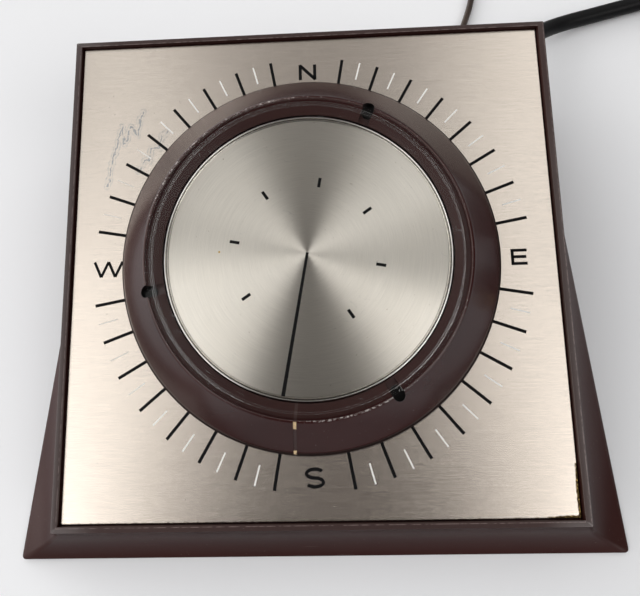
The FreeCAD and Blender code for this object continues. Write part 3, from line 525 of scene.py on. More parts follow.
class ROTATOR_OT_mains_cord(bpy.types.Operator):
    """Make the mains cord, wound into its put-away coil"""
    bl_idname = "rotator.mains_cord"
    bl_label = "Mains cord"

    def execute(self, context):
        cords = context.scene.rotator_cords
        coil = coil_turns(centre=(197.7, 99.1), outer=46.4, inner=22.5, start=104.6, turns=3.673,
                          width=cords.mains / MM)
        points = np.concatenate([[MAINS_TIP], MAINS_ROUTE, coil, TAIL_ROUTE])
        tint = cords.mains_colour
        material = rubber_finish("black_cord_rubber", tint, scaled(tint, 3), 0.42)
        cord = cord_curve("mains_flex", points, cords.mains, material)
        place(cord, "case", "cord_rubber", "mains_cord", "mains_cord_coil", "mains_cord_tail")
        return {"FINISHED"}


class ROTATOR_OT_rotator_lead(bpy.types.Operator):
    """Make the thin lead that goes to the rotator"""
    bl_idname = "rotator.rotator_lead"
    bl_label = "Rotator lead"

    def execute(self, context):
        cords = context.scene.rotator_cords
        coil = coil_turns(centre=(92.2, 178), outer=20, inner=9.2, start=180, turns=4.167,
                          width=cords.lead / MM)
        points = np.concatenate([LEAD_ROUTE, coil, LEAD_TAIL_ROUTE])
        tint = cords.lead_colour
        material = rubber_finish("brown_lead_sheath", tint, scaled(tint, 2.6), 0.38)
        lead = cord_curve("rotator_wire", points, cords.lead, material)
        place(lead, "case", "lead_plastic", "rotator_lead", "rotator_lead_coil",
              "rotator_lead_tail")
        return {"FINISHED"}


def swept(path, radius, count):
    """A round tube: path point + r (side cos a + up sin a), r given for each point. The path
    never runs straight up."""
    tangent = np.gradient(path, axis=0)
    tangent /= np.linalg.norm(tangent, axis=1, keepdims=True)
    side = np.cross(tangent, (0, 0, 1))
    side /= np.linalg.norm(side, axis=1, keepdims=True)
    up = np.cross(side, tangent)
    angle = full_turn(count)
    ring = (side[:, None] * np.cos(angle)[None, :, None]
            + up[:, None] * np.sin(angle)[None, :, None])
    return path[:, None] + ring * radius[:, None, None]


EXIT_HOLE = (66.0, 0.0, 14.0)
BOOT_LENGTH, BOOT_INSIDE, BOOT_STRAIGHT, BOOT_FLANGE = 26.0, 6.0, 7.5, 2.2


def boot_path(far):
    """Points at these distances from the boot's inner end: straight out of the wall for the
    first stretch, then straight to the cord's tip."""
    root, outside = on_rear(np.array((EXIT_HOLE, np.add(EXIT_HOLE, (0, 1, 0)))))
    out = (outside - root) / np.linalg.norm(outside - root)
    start, tip = root + out * (BOOT_STRAIGHT - BOOT_INSIDE) * MM, MAINS_TIP * MM
    straight = root + out * (np.minimum(far, BOOT_STRAIGHT) - BOOT_INSIDE)[:, None] * MM
    beyond = np.clip(far - BOOT_STRAIGHT, 0, None) / (BOOT_LENGTH - BOOT_STRAIGHT)
    return straight + (tip - start) * beyond[:, None]


def boot_radius(far):
    """Radii in millimetres: a neck in the wall, a flange with rounded edges outside it, then a
    straight taper less ribs of (1/2 + 1/2 cos)^3, and a thin end."""
    along, end = far - BOOT_INSIDE, BOOT_LENGTH - BOOT_INSIDE
    edge = np.clip(1 - np.abs(along - BOOT_FLANGE / 2) / (BOOT_FLANGE / 2), 0, 1)
    flange = 8.15 - 0.6 * (1 - np.minimum(edge * 3, 1)) ** 2
    taper = 5.9 - 1.5 * (along - BOOT_FLANGE) / (end - BOOT_FLANGE)
    ribs = 0.42 * (0.5 + 0.5 * np.cos((along - 4.5) * 2 * math.pi / 2.6)) ** 3
    ribs *= (along > 4.0) & (along < end - 1.4)
    radius = np.select([along < -5.6, along < 0, along < BOOT_FLANGE], [5.6, 6.35, flange],
                       taper - ribs)
    radius[along > end - 0.5] -= 0.9
    return np.concatenate([[1e-5], radius[1:-1], [3.0]])


class ROTATOR_OT_cord_boot(bpy.types.Operator):
    """Make the ribbed strain relief where the mains cord leaves the back"""
    bl_idname = "rotator.cord_boot"
    bl_label = "Cord boot"

    def execute(self, context):
        far = np.linspace(0, BOOT_LENGTH, 150)
        body = swept(boot_path(far), boot_radius(far) * MM, 40)
        cap = np.stack([body[-1], np.broadcast_to(body[-1].mean(0), body[-1].shape)])
        surface = Surface().add(body, along=False).add(cap, along=False)
        material = rubber_finish("boot_rubber", (0.012, 0.011, 0.011), (0.05, 0.045, 0.04), 0.5)
        place(surface.piece("cord_boot", material), "case", "black_rubber", "strain_relief")
        return {"FINISHED"}


PLUG_TURN, PLUG_LENGTH = 142.8, 42


def plug_sections(y, angle):
    """Sections |x / a|^p + |z / b|^p = 1 along the plug: a and b go from a round ribbed neck to
    a flat ribbed grip and draw in at its front, and the power p from 2 to 4.4."""
    grow = smooth_step(y, 12, 17.5)
    neck = 4.4 + 2.1 * smooth_step(y, 0, 14)
    neck = neck - 0.45 * np.clip(np.cos(y * 2 * math.pi / 2.8), 0, 1) ** 2 * (y > 1) * (y < 12)
    grip = 0.5 * np.clip(np.cos((y - 26) * 2 * math.pi / 3.2), 0, 1) * ((y > 19) & (y < 33))
    front = 1.6 * smooth_step(y, 39.2, 41.9) ** 2
    half_x = neck * (1 - grow) + (11.95 - grip) * grow - front
    half_z = neck * (1 - grow) + 6.95 * grow - front
    c, s, share = np.cos(angle), np.sin(angle), 2 / (2 + 2.4 * grow)
    x = half_x * np.sign(c) * np.abs(c) ** share
    z = half_z * np.sign(s) * np.abs(s) ** share
    return np.stack([x, np.broadcast_to(y, x.shape), z], -1)


class ROTATOR_OT_plug(bpy.types.Operator):
    """Make the moulded plug, ribbed at its neck and grip"""
    bl_idname = "rotator.plug"
    bl_label = "Plug"

    def execute(self, context):
        y = np.concatenate([np.linspace(0, 13, 40), np.linspace(13.2, PLUG_LENGTH - 0.1, 90)])
        body = plug_sections(y[:, None], full_turn(64)[None, :])
        ends = np.zeros((2, 1, *body.shape[1:]))
        ends[1, ..., 1] = PLUG_LENGTH
        closed = spun(np.concatenate([ends[0], body, ends[1]]), math.radians(PLUG_TURN))
        surface = Surface().add((closed + TAIL_ROUTE[-1]) * MM, along=False)
        material = moulded_plastic("black_plug_plastic", (0.012, 0.011, 0.011), 0.40)
        place(surface.piece("plug_grip", material, 50), "case", "plug_plastic", "plug_body")
        return {"FINISHED"}


# ---------------------------------------------------------------- case

FACE_SHIFT = 0.3
LIP_FRONT, LIP_BACK = -75.3, 74.35
DECK_TOP, DECK_LOW, DECK_HOLE = -0.8, -3.4, 6.1
WALL = 2.6
WINDOW_LEFT, WINDOW_RIGHT, WINDOW_TOP, WINDOW_LOW = 0, 50, 31, 13
WALL_ROWS, WINDOW_ROWS, FOOT_ROWS = 11, 6, 9
FIXED_X = np.concatenate([np.arange(-60, 0, 7.5), np.linspace(WINDOW_LEFT, WINDOW_RIGHT, 9), [60.0]])
BOSSES = ((-62, -60), (62, -60), (-62, 58), (62, 58))
POSTS = ((-30, -8), (34, -10), (-8, 54), (46, 57))


def quadratic(points, t):
    """(1-t)^2 P0 + 2t(1-t) P1 + t^2 P2 for each t."""
    p0, p1, p2 = (np.array(p, float) for p in points)
    t = np.asarray(t)[:, None]
    return (1 - t) ** 2 * p0 + 2 * t * (1 - t) * p1 + t ** 2 * p2


def window_shares(top, low):
    """Shares down the back wall, with rows at the window's top and low edges."""
    wall = [turned(np.array([(0, *p)]) * MM - REAR_ORIGIN, -REAR_SLOPE)[0, 2] / MM
            for p in (top, low)]
    marks = [(wall[0] - h) / (wall[0] - wall[1]) for h in (WINDOW_TOP, WINDOW_LOW)]
    return np.concatenate([np.linspace(0, marks[0], WALL_ROWS, endpoint=False),
                           np.linspace(*marks, WINDOW_ROWS, endpoint=False),
                           np.linspace(marks[1], 1, FOOT_ROWS)])


def skirt_rows(rule, widths, fronts, backs, shares, radius):
    """Rounded rectangles hung between the front and the back edge curves."""
    front, back = quadratic(fronts, shares), quadratic(backs, shares)
    width = quadratic([(w,) for w in widths], shares)[:, 0]
    reach = np.linalg.norm(back - front, axis=1)
    middle, way = (front + back) / 2, (back - front) / reach[:, None]
    x, along = rectangle_points(rule, width, reach / 2, np.full(len(shares), radius))
    y = middle[:, :1] + way[:, :1] * along
    z = middle[:, 1:] + way[:, 1:] * along
    return np.stack([x, y, z], -1) * MM


def face_rows(rule, rows):
    """Rounded rectangles in the face's frame: (half width, front, back, height, radius)."""
    half, front, back, height, radius = np.array(rows, float).T
    x, y = rectangle_points(rule, half, (back - front) / 2, radius)
    y = y + ((back + front) / 2)[:, None]
    return np.stack([x, y, np.broadcast_to(height[:, None], x.shape)], -1)


def hole_row(rim, radius, height):
    """A circle whose points stand at the same headings as a rim's."""
    heading = np.arctan2(rim[:, 0], rim[:, 1])
    return np.stack([radius * np.sin(heading), radius * np.cos(heading),
                     np.full(len(rim), height)], -1)


def case_grid(settings):
    """All rows of the case from the deck's hole over the lip, down the skirt and back inside."""
    rule = rectangle_rule(FIXED_X, 24)
    lip, top = settings.lip_half / MM, settings.lip_height / MM
    base, corner = settings.base_half / MM, settings.corner / MM
    front, back = LIP_FRONT, LIP_BACK
    inner, near, far, soft = 72.95, -73.6, 72.85, 0.1
    rows = face_rows(rule, [
        (72.6, -73.4, 72.7, DECK_TOP, 0.3), (inner, near, far, DECK_TOP + 0.02, 0.2),
        (inner, near, far, top - soft, 0.2),
        (inner + 0.03, near - 0.03, far + 0.03, top - 0.03, 0.22),
        (inner + soft, near - soft, far + soft, top, 0.25),
        (lip - soft, front + soft, back - soft, top, 0.3),
        (lip - 0.05, front + 0.05, back - 0.05, top - 0.05, 0.32),
        (lip, front, back, top - soft, 0.35), (lip, front, back, 0.62, 0.35)])
    rows[2:, :, 0] += FACE_SHIFT
    upper = on_face(rows)
    hole = [on_face(hole_row(rows[0], DECK_HOLE, height)[None]) for height in (DECK_TOP, DECK_LOW)]
    ends = on_face([(0, front, 0.6), (0, back, 0.6), (0, front + 0.6 * WALL, DECK_LOW),
                    (0, back - WALL, DECK_LOW)])[:, 1:] / MM
    front_top, back_top, front_in, back_in = ends
    front_foot, back_foot = np.array((-79, 0.8)), np.array((79, 0.8))
    bend = front_top[0] - 0.5, 5.5
    shares = window_shares(back_top, back_foot)
    outer = skirt_rows(rule, (lip, lip + 1, base), (front_top, bend, front_foot),
                       (back_top, (back_top + back_foot) / 2, back_foot), shares, corner)
    foot_in = back_foot - (WALL, 0)
    inside = skirt_rows(rule, (lip - WALL + 0.2, lip - WALL + 0.8, base - WALL * 1.4),
                        (front_in, (front_in[0] - 0.3, bend[1] - 0.9), front_foot + (1.4 * WALL, 0)),
                        (back_in, (back_in + foot_in) / 2, foot_in),
                        window_shares(back_in, foot_in), 0.8)
    outer[..., 0] += FACE_SHIFT * MM * (1 - shares)[:, None]
    soften_foot(outer, -1)
    soften_foot(inside, 1)
    grid = np.concatenate([hole[0], upper, outer, inside[::-1], hole[1]])
    return rule, grid, len(upper) + 1, len(outer)


def soften_foot(rows, sign):
    """Moves the last row a little out, or in for sign -1, so that the foot isn't a knife edge."""
    middle = rows[-1].mean(0)
    rows[-1, :, :2] = middle[:2] + (rows[-1, :, :2] - middle[:2]) * (1 + sign * 0.004)


def case_openings(surface, rule, grid, start, rows):
    """Leaves the terminal window open in both skins of the back wall and joins its edges."""
    count = grid.shape[1]
    columns = rule[0]
    back = np.flatnonzero((columns[:, 2] == 1) & (columns[:, 4] == 1) & (columns[:, 1] == 0)
                          & (np.abs(columns[:, 0] - (WINDOW_LEFT + WINDOW_RIGHT) / 2)
                             < (WINDOW_RIGHT - WINDOW_LEFT) / 2 + 0.01))
    first, last = back.min(), back.max()
    top, inner_top = start + WALL_ROWS, start + 2 * rows - 1 - WALL_ROWS
    low, inner_low = top + WINDOW_ROWS, inner_top - WINDOW_ROWS
    kept = np.ones(grid.shape[:2], bool)
    kept[top:low, first:last] = False
    kept[inner_low:inner_top, first:last] = False
    surface.add(grid, kept=kept)
    across, down = np.arange(first, last + 1), np.arange(WINDOW_ROWS + 1)
    surface.join(top * count + across, inner_top * count + across)
    surface.join(inner_low * count + across, low * count + across)
    for column in (first, last):
        surface.join((top + down) * count + column, (inner_top - down) * count + column)


def screw_tube(inner, outer, low, high):
    """An upright tube for a screw between two heights, its lower outer edge rounded."""
    profile = rounded([(inner, low, 0), (outer, low, 0.2), (outer, high, 0), (inner, high, 0)], 3)
    return lathe(profile, full_turn(28))


class ROTATOR_OT_case(bpy.types.Operator):
    """Make the moulded case: lip, flared skirt, deck, window, bosses and posts"""
    bl_idname = "rotator.case"
    bl_label = "Case"

    def execute(self, context):
        settings = context.scene.rotator_case
        surface = Surface()
        rule, grid, start, rows = case_grid(settings)
        case_openings(surface, rule, grid, start, rows)
        for x, y in BOSSES:
            deck = (FACE_ORIGIN[2] + (y * MM - FACE_ORIGIN[1]) * math.tan(TILT)) / MM
            surface.add((screw_tube(1.5, 3.6, 5.3, deck - 2.1) + (x, y, 0)) * MM)
        for x, y in POSTS:
            surface.add(on_face(screw_tube(1.2, 3.5, -20.45, -2.4) + (x, y, 0)))
        place(surface.piece("case_moulding", case_finish(settings), 40), "case", "case_plastic",
              "housing")
        return {"FINISHED"}


def case_finish(settings):
    """Maroon moulding with painted shade under the lip that lightens towards the foot, a lip top
    painted paler as sheen, painted highlights along the lip's edges, dust and a few hairlines.
    """
    finish = Finish("maroon_case_plastic")
    tint = settings.plastic
    here = finish.on_face()
    x, y, z = finish.split(here)
    cloud = finish.noise(here, 0.025, 3)
    fine = finish.noise(here, 0.8, 4)
    speck = finish.noise(here, 1.7, 2, 0.7).between(0.735, 0.77)
    hair = finish.noise(finish.joined(x * 0.05, y * 1.1, z * 0.7), 1.0, 2).between(0.70, 0.73)
    top = settings.lip_height / MM
    lip_top = z.between(top - 0.12, top - 0.02)
    across = (abs(x) - 73.9).maths("MAXIMUM", abs(y + 0.5) - 74.4)
    # Painted highlight: thin pale lines along both edges of the lip's top, broken up by noise.
    rim = abs(abs(across) - 0.86).between(0.14, 0.04) * lip_top * fine.between(0.35, 0.6)
    # Painted shade: a dark line on the skirt just under the lip's edge.
    under_lip_shade = across.between(0.7, 0.9) * abs(z - 0.75).between(0.75, 0.3)
    # Painted shade: the skirt is darker just under the lip and lighter towards the foot.
    base = finish.mix(z.between(-2, -15), scaled(tint, 0.65), tuple(c * 1.15 + 0.004 for c in tint))
    return finish.surface({
        "Base Color": finish.layers(
            base,
            (cloud.between(0.3, 0.7) * 0.25, scaled(tint, 1.4)),
            (under_lip_shade * 0.6, (0.010, 0.004, 0.004)),
            # Painted sheen: the lip's top is painted paler than the rest of the case.
            (lip_top * 0.85, (0.056, 0.036, 0.034)),
            (rim * 0.5, (0.30, 0.23, 0.22)),
            (speck * 0.5 + hair * 0.05, (0.42, 0.36, 0.33))),
        "Roughness": fine * 0.10 + cloud * 0.08 + hair * 0.1 + 0.22,
        "IOR": 1.2,
        "Coat Weight": lip_top * (x.between(60, 72) * (y.between(60, 10) * 0.85 + 0.15)
                                  + x.between(-60, -72) * 0.9 + y.between(62, 72) * 0.3),
        "Coat IOR": 1.6,
        "Coat Roughness": 0.35,
        "Normal": finish.bump(fine, 0.00004, 0.3)})


PLATE_FRONT, PLATE_BACK = -73.3, 72.6


class ROTATOR_OT_face_plate(bpy.types.Operator):
    """Make the brushed face plate"""
    bl_idname = "rotator.face_plate"
    bl_label = "Face plate"

    def execute(self, context):
        settings = context.scene.rotator_case
        half, front, back, soft = settings.plate_half / MM, PLATE_FRONT, PLATE_BACK, 0.12
        rule = rectangle_rule(np.linspace(-40, 40, 11), 24)
        rows = face_rows(rule, [
            (half - 12, front + 12, back - 12, 0, 9),
            (half - 2, front + 2, back - 2, 0, 1.2),
            (half - soft - 0.15, front + soft + 0.15, back - soft - 0.15, 0, 0.3),
            (half - soft, front + soft, back - soft, 0, 0.3),
            (half - 0.03, front + 0.03, back - 0.03, -0.04, 0.35),
            (half, front, back, -soft, 0.35), (half, front, back, DECK_TOP, 0.35)])
        hole = [hole_row(rows[0], 9.5, height)[None] for height in (0, DECK_TOP)]
        rows[1:, :, 0] += FACE_SHIFT * 0.7
        grid = np.concatenate([hole[0], rows, hole[1]])
        plate = Surface().add(on_face(grid)).piece("brushed_plate", brushed_plate(settings))
        place(plate, "case", "face_aluminium", "faceplate")
        return {"FINISHED"}


def brushed_plate(settings):
    """Aluminium brushed from side to side, with edge grime, specks, faint scribbles and a painted
    shadow line round the knob's foot."""
    finish = Finish("brushed_face_aluminium")
    tint = settings.plate
    here = finish.on_face()
    x, y, z = finish.split(here)
    brush = finish.noise(finish.joined(x * 0.09, y * 7.0, z), 1.0, 4, 0.6)
    grain = finish.noise(finish.joined(x * 0.30, y * 4.6, z), 1.0, 3, 0.6)
    broad = finish.noise(finish.joined(x * 0.02, y * 1.3, z), 1.0, 3)
    cloud = finish.noise(here, 0.03, 3)
    speck = finish.noise(here, 1.1, 2, 0.6).between(0.735, 0.765)
    dirt = finish.mix(finish.noise(here, 1.6, 3, 0.7).between(0.5, 0.62), (0.030, 0.016, 0.006),
                      (0.34, 0.24, 0.09))
    return finish.surface({
        "Base Color": finish.layers(
            finish.mix(brush.between(0.34, 0.66), scaled(tint, 0.91), tint),
            (grain.between(0.5, 0.72) * 0.10, (0.42, 0.33, 0.27)),
            (cloud.between(0.35, 0.75) * 0.10, (0.62, 0.52, 0.45)),
            (speck * 0.55, (0.16, 0.12, 0.09)),
            (edge_grime(finish, here, x, y), dirt),
            # Painted shadow: a dark ring on the plate round the knob's foot.
            (distance(x, y).between(56.3, 55.5) * 0.9, (0.01, 0.008, 0.007)),
            (pen_marks(finish, here, x, y) * 0.55, (0.22, 0.29, 0.35))),
        "Metallic": 1.0,
        "Roughness": brush * 0.06 + broad * 0.04 + speck * 0.3 + 0.17,
        "Normal": finish.bump(brush, 0.00005, 0.4)})


def edge_grime(finish, here, x, y):
    """Brown dirt in the lower right corner and thin traces along the front edge."""
    ragged = finish.noise(here, 0.9, 4, 0.75)
    right = (72.7 - x).between(1.5, 0.1) * y.between(-50, -67)
    low = (y - PLATE_FRONT).between(1.3, 0.1) * x.between(58, 70)
    corner = right.maths("MAXIMUM", low)
    front = (y - PLATE_FRONT).between(0.7, 0.1) * ragged.between(0.5, 0.62) * 0.7
    return (corner + ragged - 0.5).between(0.38, 0.62).maths("MAXIMUM", front)


PEN_STROKES = [[(-62.8, 25.7), (-61.6, 34.0), (-60.0, 40.7), (-58.9, 45.6), (-58.0, 39.7),
                (-56.1, 45.4), (-53.7, 42.1), (-53.4, 46.3), (-52.3, 50.2)],
               [(-53.2, 30.3), (-51.2, 34.0), (-49.8, 33.5), (-49.5, 37.7), (-46.7, 38.0),
                (-46.3, 41.4), (-44.1, 43.0)]]


def segment_distance(x, y, start, end):
    """Distance to a segment: |(x, y) - start - t (end - start)|, t = clamped projection."""
    run, rise = end[0] - start[0], end[1] - start[1]
    across, up = x - start[0], y - start[1]
    t = (across * (run / (run * run + rise * rise))
         + up * (rise / (run * run + rise * rise))).maths("MAXIMUM", 0.0).maths("MINIMUM", 1.0)
    return ((across - t * run) ** 2 + (up - t * rise) ** 2) ** 0.5


def pen_marks(finish, here, x, y):
    """Two faint scribbled strokes: lines near two polylines whose coordinates are shaken."""
    shaken_x = x + (finish.noise(here, 0.45, 3, 0.6) - 0.5) * 2.4
    shaken_y = y + (finish.noise(finish.joined(y, x, 4), 0.4, 3, 0.6) - 0.5) * 2.4
    near = None
    for stroke in PEN_STROKES:
        for start, end in zip(stroke, stroke[1:]):
            gap = segment_distance(shaken_x, shaken_y, start, end)
            near = gap if near is None else near.maths("MINIMUM", gap)
    line = near.between(0.34, 0.10) + abs(near - 0.9).between(0.22, 0.06) * 0.4
    smear = near.between(1.8, 0.3) * 0.10
    return line.maths("MINIMUM", 1.0) * finish.noise(here, 0.6, 3).between(0.36, 0.50) + smear


# ---------------------------------------------------------------- print

def ribbon(points, width, height, thick=0.02):
    """A flat closed band along a line: its points moved half a width to each side."""
    line = np.asarray(points, float)
    width = np.broadcast_to(np.asarray(width, float), (len(line),))[:, None] / 2
    way = np.gradient(line, axis=0)
    way /= np.linalg.norm(way, axis=1, keepdims=True)
    side = np.stack([-way[:, 1], way[:, 0]], -1) * width
    left, right = line + side, line - side
    high, low = np.full((len(line), 1), height + thick), np.full((len(line), 1), height)
    loop = [np.hstack([left, high]), np.hstack([right, high]),
            np.hstack([right, low]), np.hstack([left, low])]
    return np.stack(loop, 1)


def add_ribbon(surface, points, width, height):
    """A ribbon with both its ends closed by collapsing the last ring onto its middle."""
    band = on_face(ribbon(points, width, height))
    ends = [np.broadcast_to(band[i].mean(0), band[i].shape)[None] for i in (0, -1)]
    surface.add(np.concatenate([ends[0], band, ends[1]]), along=False)


def heading_line(heading, inner, outer):
    """Two points on a compass heading, at two radii."""
    h = math.radians(heading)
    return [(inner * math.sin(h), inner * math.cos(h)), (outer * math.sin(h), outer * math.cos(h))]


def letter_strokes():
    """Strokes of the four compass letters about their middles, as (letter, points)."""
    angle = np.radians(np.linspace(30, 270, 17))
    bowl = np.column_stack([2.35 * np.cos(angle), 1.19 * np.sin(angle) + 1.19])
    s_curve = np.concatenate([bowl, -bowl[-2::-1]])
    h = 2.35
    zigzag = [(-4.3, h), (-2.15, -h), (0, h), (2.15, -h), (4.3, h)]
    return [("N", [(-2.3, -2.6), (-2.3, 2.6)]), ("N", [(-2.45, 2.5), (2.45, -2.5)]),
            ("N", [(2.3, -2.6), (2.3, 2.6)]),
            ("E", [(-1.95, -2.4), (-1.95, 2.4)]), ("E", [(-2.3, 1.98), (2.35, 1.98)]),
            ("E", [(-2.3, 0.05), (2.1, 0.05)]), ("E", [(-2.3, -1.98), (2.35, -1.98)]),
            ("S", s_curve),
            *[("W", zigzag[i:i + 2]) for i in range(4)]]


TICK_WIDTH, TICK_INNER, TICK_OUTER = 0.94, 53.5, 66
FINE_WIDTH, FINE_INNER, FINE_OUTER = 0.48, 60.1, 65.9
LETTER_SPOTS = {"N": (0.35, 61.3, 1.0), "E": (61.8, -0.45, 0.9), "S": (0.05, -61.75, 0.95),
                "W": (-61.5, -0.4, 0.84)}


class ROTATOR_OT_compass_print(bpy.types.Operator):
    """Print the compass ring on the plate: ten degree ticks, five degree ticks and letters"""
    bl_idname = "rotator.compass_print"
    bl_label = "Compass print"

    def execute(self, context):
        settings = context.scene.rotator_case
        black, white = Surface(), Surface()
        for heading in range(0, 360, 5):
            if heading % 10 == 0 and heading % 90:
                add_ribbon(black, heading_line(heading, TICK_INNER, TICK_OUTER), TICK_WIDTH, 0)
            elif heading % 10 and 10 < heading % 90 < 80:
                add_ribbon(white, heading_line(heading, FINE_INNER, FINE_OUTER), FINE_WIDTH, 0)
        for letter, points in letter_strokes():
            x, y, width = LETTER_SPOTS[letter]
            add_ribbon(black, np.array(points) + (x, y), width, 0)
        place(black.piece("compass_black_print", ink_finish(settings)), "case", "face_aluminium")
        place(white.piece("compass_white_print", white_finish(settings)), "case", "face_aluminium")
        return {"FINISHED"}


def ink_finish(settings):
    """Matt black ink, a little thin in places."""
    finish = Finish("black_screen_ink")
    fine = finish.noise(finish.on_face(), 2.2, 3, 0.6)
    return finish.surface({
        "Base Color": finish.mix(fine.between(0.6, 0.8), settings.ink, (0.02, 0.018, 0.016)),
        "Specular IOR Level": 0.12,
        "Roughness": fine * 0.2 + 0.45})


def white_finish(settings):
    """White ink, thinner in places, and nearly worn away at the left of the ring."""
    finish = Finish("white_screen_ink")
    here = finish.on_face()
    thin = finish.noise(here, 0.5, 3, 0.6)
    x = finish.split(here)[0]
    base = finish.mix(thin.between(0.5, 0.8) * 0.3, settings.white, (0.60, 0.56, 0.50))
    return finish.surface({
        "Base Color": finish.mix(x.between(-46, -56) * 0.8, base, (0.78, 0.72, 0.65)),
        "Roughness": thin * 0.2 + 0.4})


# ---------------------------------------------------------------- knob

NOTCHES = (148.9, 257.5, 24.2)
NOTCH_HALF, NOTCH_START, NOTCH_REACH, NOTCH_FLOOR = 2.1, 45.2, 2.2, 12.9
NOTCH_ROW = 47.03
GROOVE_HALF, GROOVE_DEPTH = 0.40, 0.16
INNER_LIP = 40.8


def knob_headings(index):
    """Headings of the knob's columns, closer at the edges of the groove and the notches."""
    steps = [full_turn(240)]
    for heading, half in [(index, GROOVE_HALF), *[(notch, NOTCH_HALF) for notch in NOTCHES]]:
        across = np.sin(np.linspace(-1, 1, 13) * math.pi / 2) * half
        near = np.concatenate([across, (-half - 0.06, half + 0.06)])
        steps.append(np.radians(heading + near) % (2 * math.pi))
    merged = np.unique(np.concatenate(steps).round(6))
    apart = np.diff(merged, prepend=-1) > 4e-4
    return merged[apart]


def knob_profile(settings):
    """Ring, web and hub in section, closed, with rows where the groove and notches begin."""
    rim, crest = settings.rim / MM, settings.crest / MM
    foot, head = np.array((rim - 1.0, 7.2)), np.array((crest + 0.5, 16.45))

    def cone(radius):
        share = (foot[0] - radius) / (foot[0] - head[0])
        return (*(foot + (head - foot) * share), 0)

    return rounded([
        (4.75, 2, 0), (43.5, 2, 0.1), (43.5, 11.9, 0.1), (46.3, 11.9, 0.1), (52.6, 4.9, 0.1),
        (52.6, 1.2, 0.1), (rim - 0.8, 1.2, 0.25), (rim - 0.05, 3.4, 0.4), (rim - 0.02, 5.6, 0.5),
        (*foot, 0.5), cone(53.9), cone(53.8), cone(50), cone(NOTCH_ROW + 0.02),
        cone(NOTCH_ROW - 0.03), cone(46.4),
        cone(46.3), (*head, 0.10), (crest, 16.68, 0.12), (crest - 0.15, 16.68, 0.04),
        (crest - 0.15, 15.3, 0), (43.6, 15.3, 0.1), (INNER_LIP, 14.3, 0.1), (INNER_LIP, 14.0, 0.05),
        (INNER_LIP + 0.3, 13.8, 0.05), (INNER_LIP + 0.3, 4.2, 0.2), (9, 4.2, 0.3), (9, 9.3, 0.3),
        (4.75, 9.3, 0.1)])


def cut_knob(grid, headings, index):
    """Sinks the index groove, and cuts the notches in place: at w degrees from a notch's middle
    the row at its end moves to start + reach sqrt(1 - (w / half)^2), and all inside it drops
    to the notch's floor."""
    radius = np.hypot(grid[..., 0], grid[..., 1])
    outer = (grid[..., 2] > 7) & (radius > 41.5)

    def away(heading):
        """Degrees between each column and a heading."""
        return np.abs((np.degrees(headings) - heading + 180) % 360 - 180)[None, :]

    groove = (away(index) < GROOVE_HALF + 0.02) & (radius < 53.85) & (radius > 45.5)
    sink = GROOVE_DEPTH * (groove & outer)
    grid[..., 2] -= sink
    grid[..., :2] *= (1 - sink / np.maximum(radius, 1))[..., None]
    for notch in NOTCHES:
        edge = NOTCH_START + NOTCH_REACH * np.clip(1 - (away(notch) / NOTCH_HALF) ** 2, 0, 1) ** 0.5
        end = (away(notch) < NOTCH_HALF + 0.01) & outer & (abs(radius - NOTCH_ROW) < 0.05)
        moved = np.where(radius < NOTCH_ROW, edge - 0.05, edge)
        grid[..., :2] *= np.where(end, moved / np.maximum(radius, 1), 1)[..., None]
        grid[..., 2] += np.where(end, (radius - moved) * 1.08, 0)
        cut = (away(notch) < NOTCH_HALF - 0.01) & outer & (radius < NOTCH_ROW) & (radius > 43.3)
        grid[..., 2] = np.where(cut, np.minimum(grid[..., 2], NOTCH_FLOOR), grid[..., 2])
    return grid


class ROTATOR_OT_knob(bpy.types.Operator):
    """Make the setting knob with its index groove, notches and stop rib"""
    bl_idname = "rotator.knob"
    bl_label = "Setting knob"

    def execute(self, context):
        settings = context.scene.rotator_knob
        headings = knob_headings(settings.index)
        grid = cut_knob(lathe(knob_profile(settings), headings), headings, settings.index)
        surface = Surface().add(on_face(grid))
        rib = rounded([(-0.8, -52.85, 0), (0.8, -52.85, 0), (0.8, -48.3, 0.2), (-0.8, -48.3, 0.2)], 3)
        levels = [spun(np.column_stack([rib, np.full(len(rib), z)]),
                       math.radians(180 - settings.index)) for z in (1.5, 6.5)]
        middle = [np.broadcast_to(level.mean(0), level.shape) for level in levels]
        surface.add(on_face(np.stack([middle[0], *levels, middle[1]])), along=False)
        place(surface.piece("knob_moulding", knob_finish(settings), 38), "knob", "knob_plastic",
              "control_knob")
        return {"FINISHED"}


def crest_scratches(x, y, z, radius, broken, crest):
    """A worn line along the crest, broken up by noise and denser at two headings."""
    worn = toward(x, y, radius, 162, 24, 8).maths(
        "MAXIMUM", toward(x, y, radius, 325, 50, 20) * 0.7) * 0.14 - 0.03
    line = abs(radius - (crest + 0.05)).between(0.34, 0.10) * z.between(15.8, 16.2)
    return line * (broken + worn).between(0.58, 0.66)


def notch_floor_shade(x, y, z):
    """1 inside an ellipse r r / 5.3 + s s / 2.9 = 1 at each notch, r out and s aside from it: where
    the notch floors get painted shade.
    """
    hole = None
    for notch in NOTCHES:
        reach, across = outward(x, y, notch) - NOTCH_START, aside(x, y, notch)
        round_end = (reach * reach / 5.3 + across * across / 2.9).between(1.12, 0.9)
        hole = round_end if hole is None else hole.maths("MAXIMUM", round_end)
    return hole * z.between(12.0, 12.4)


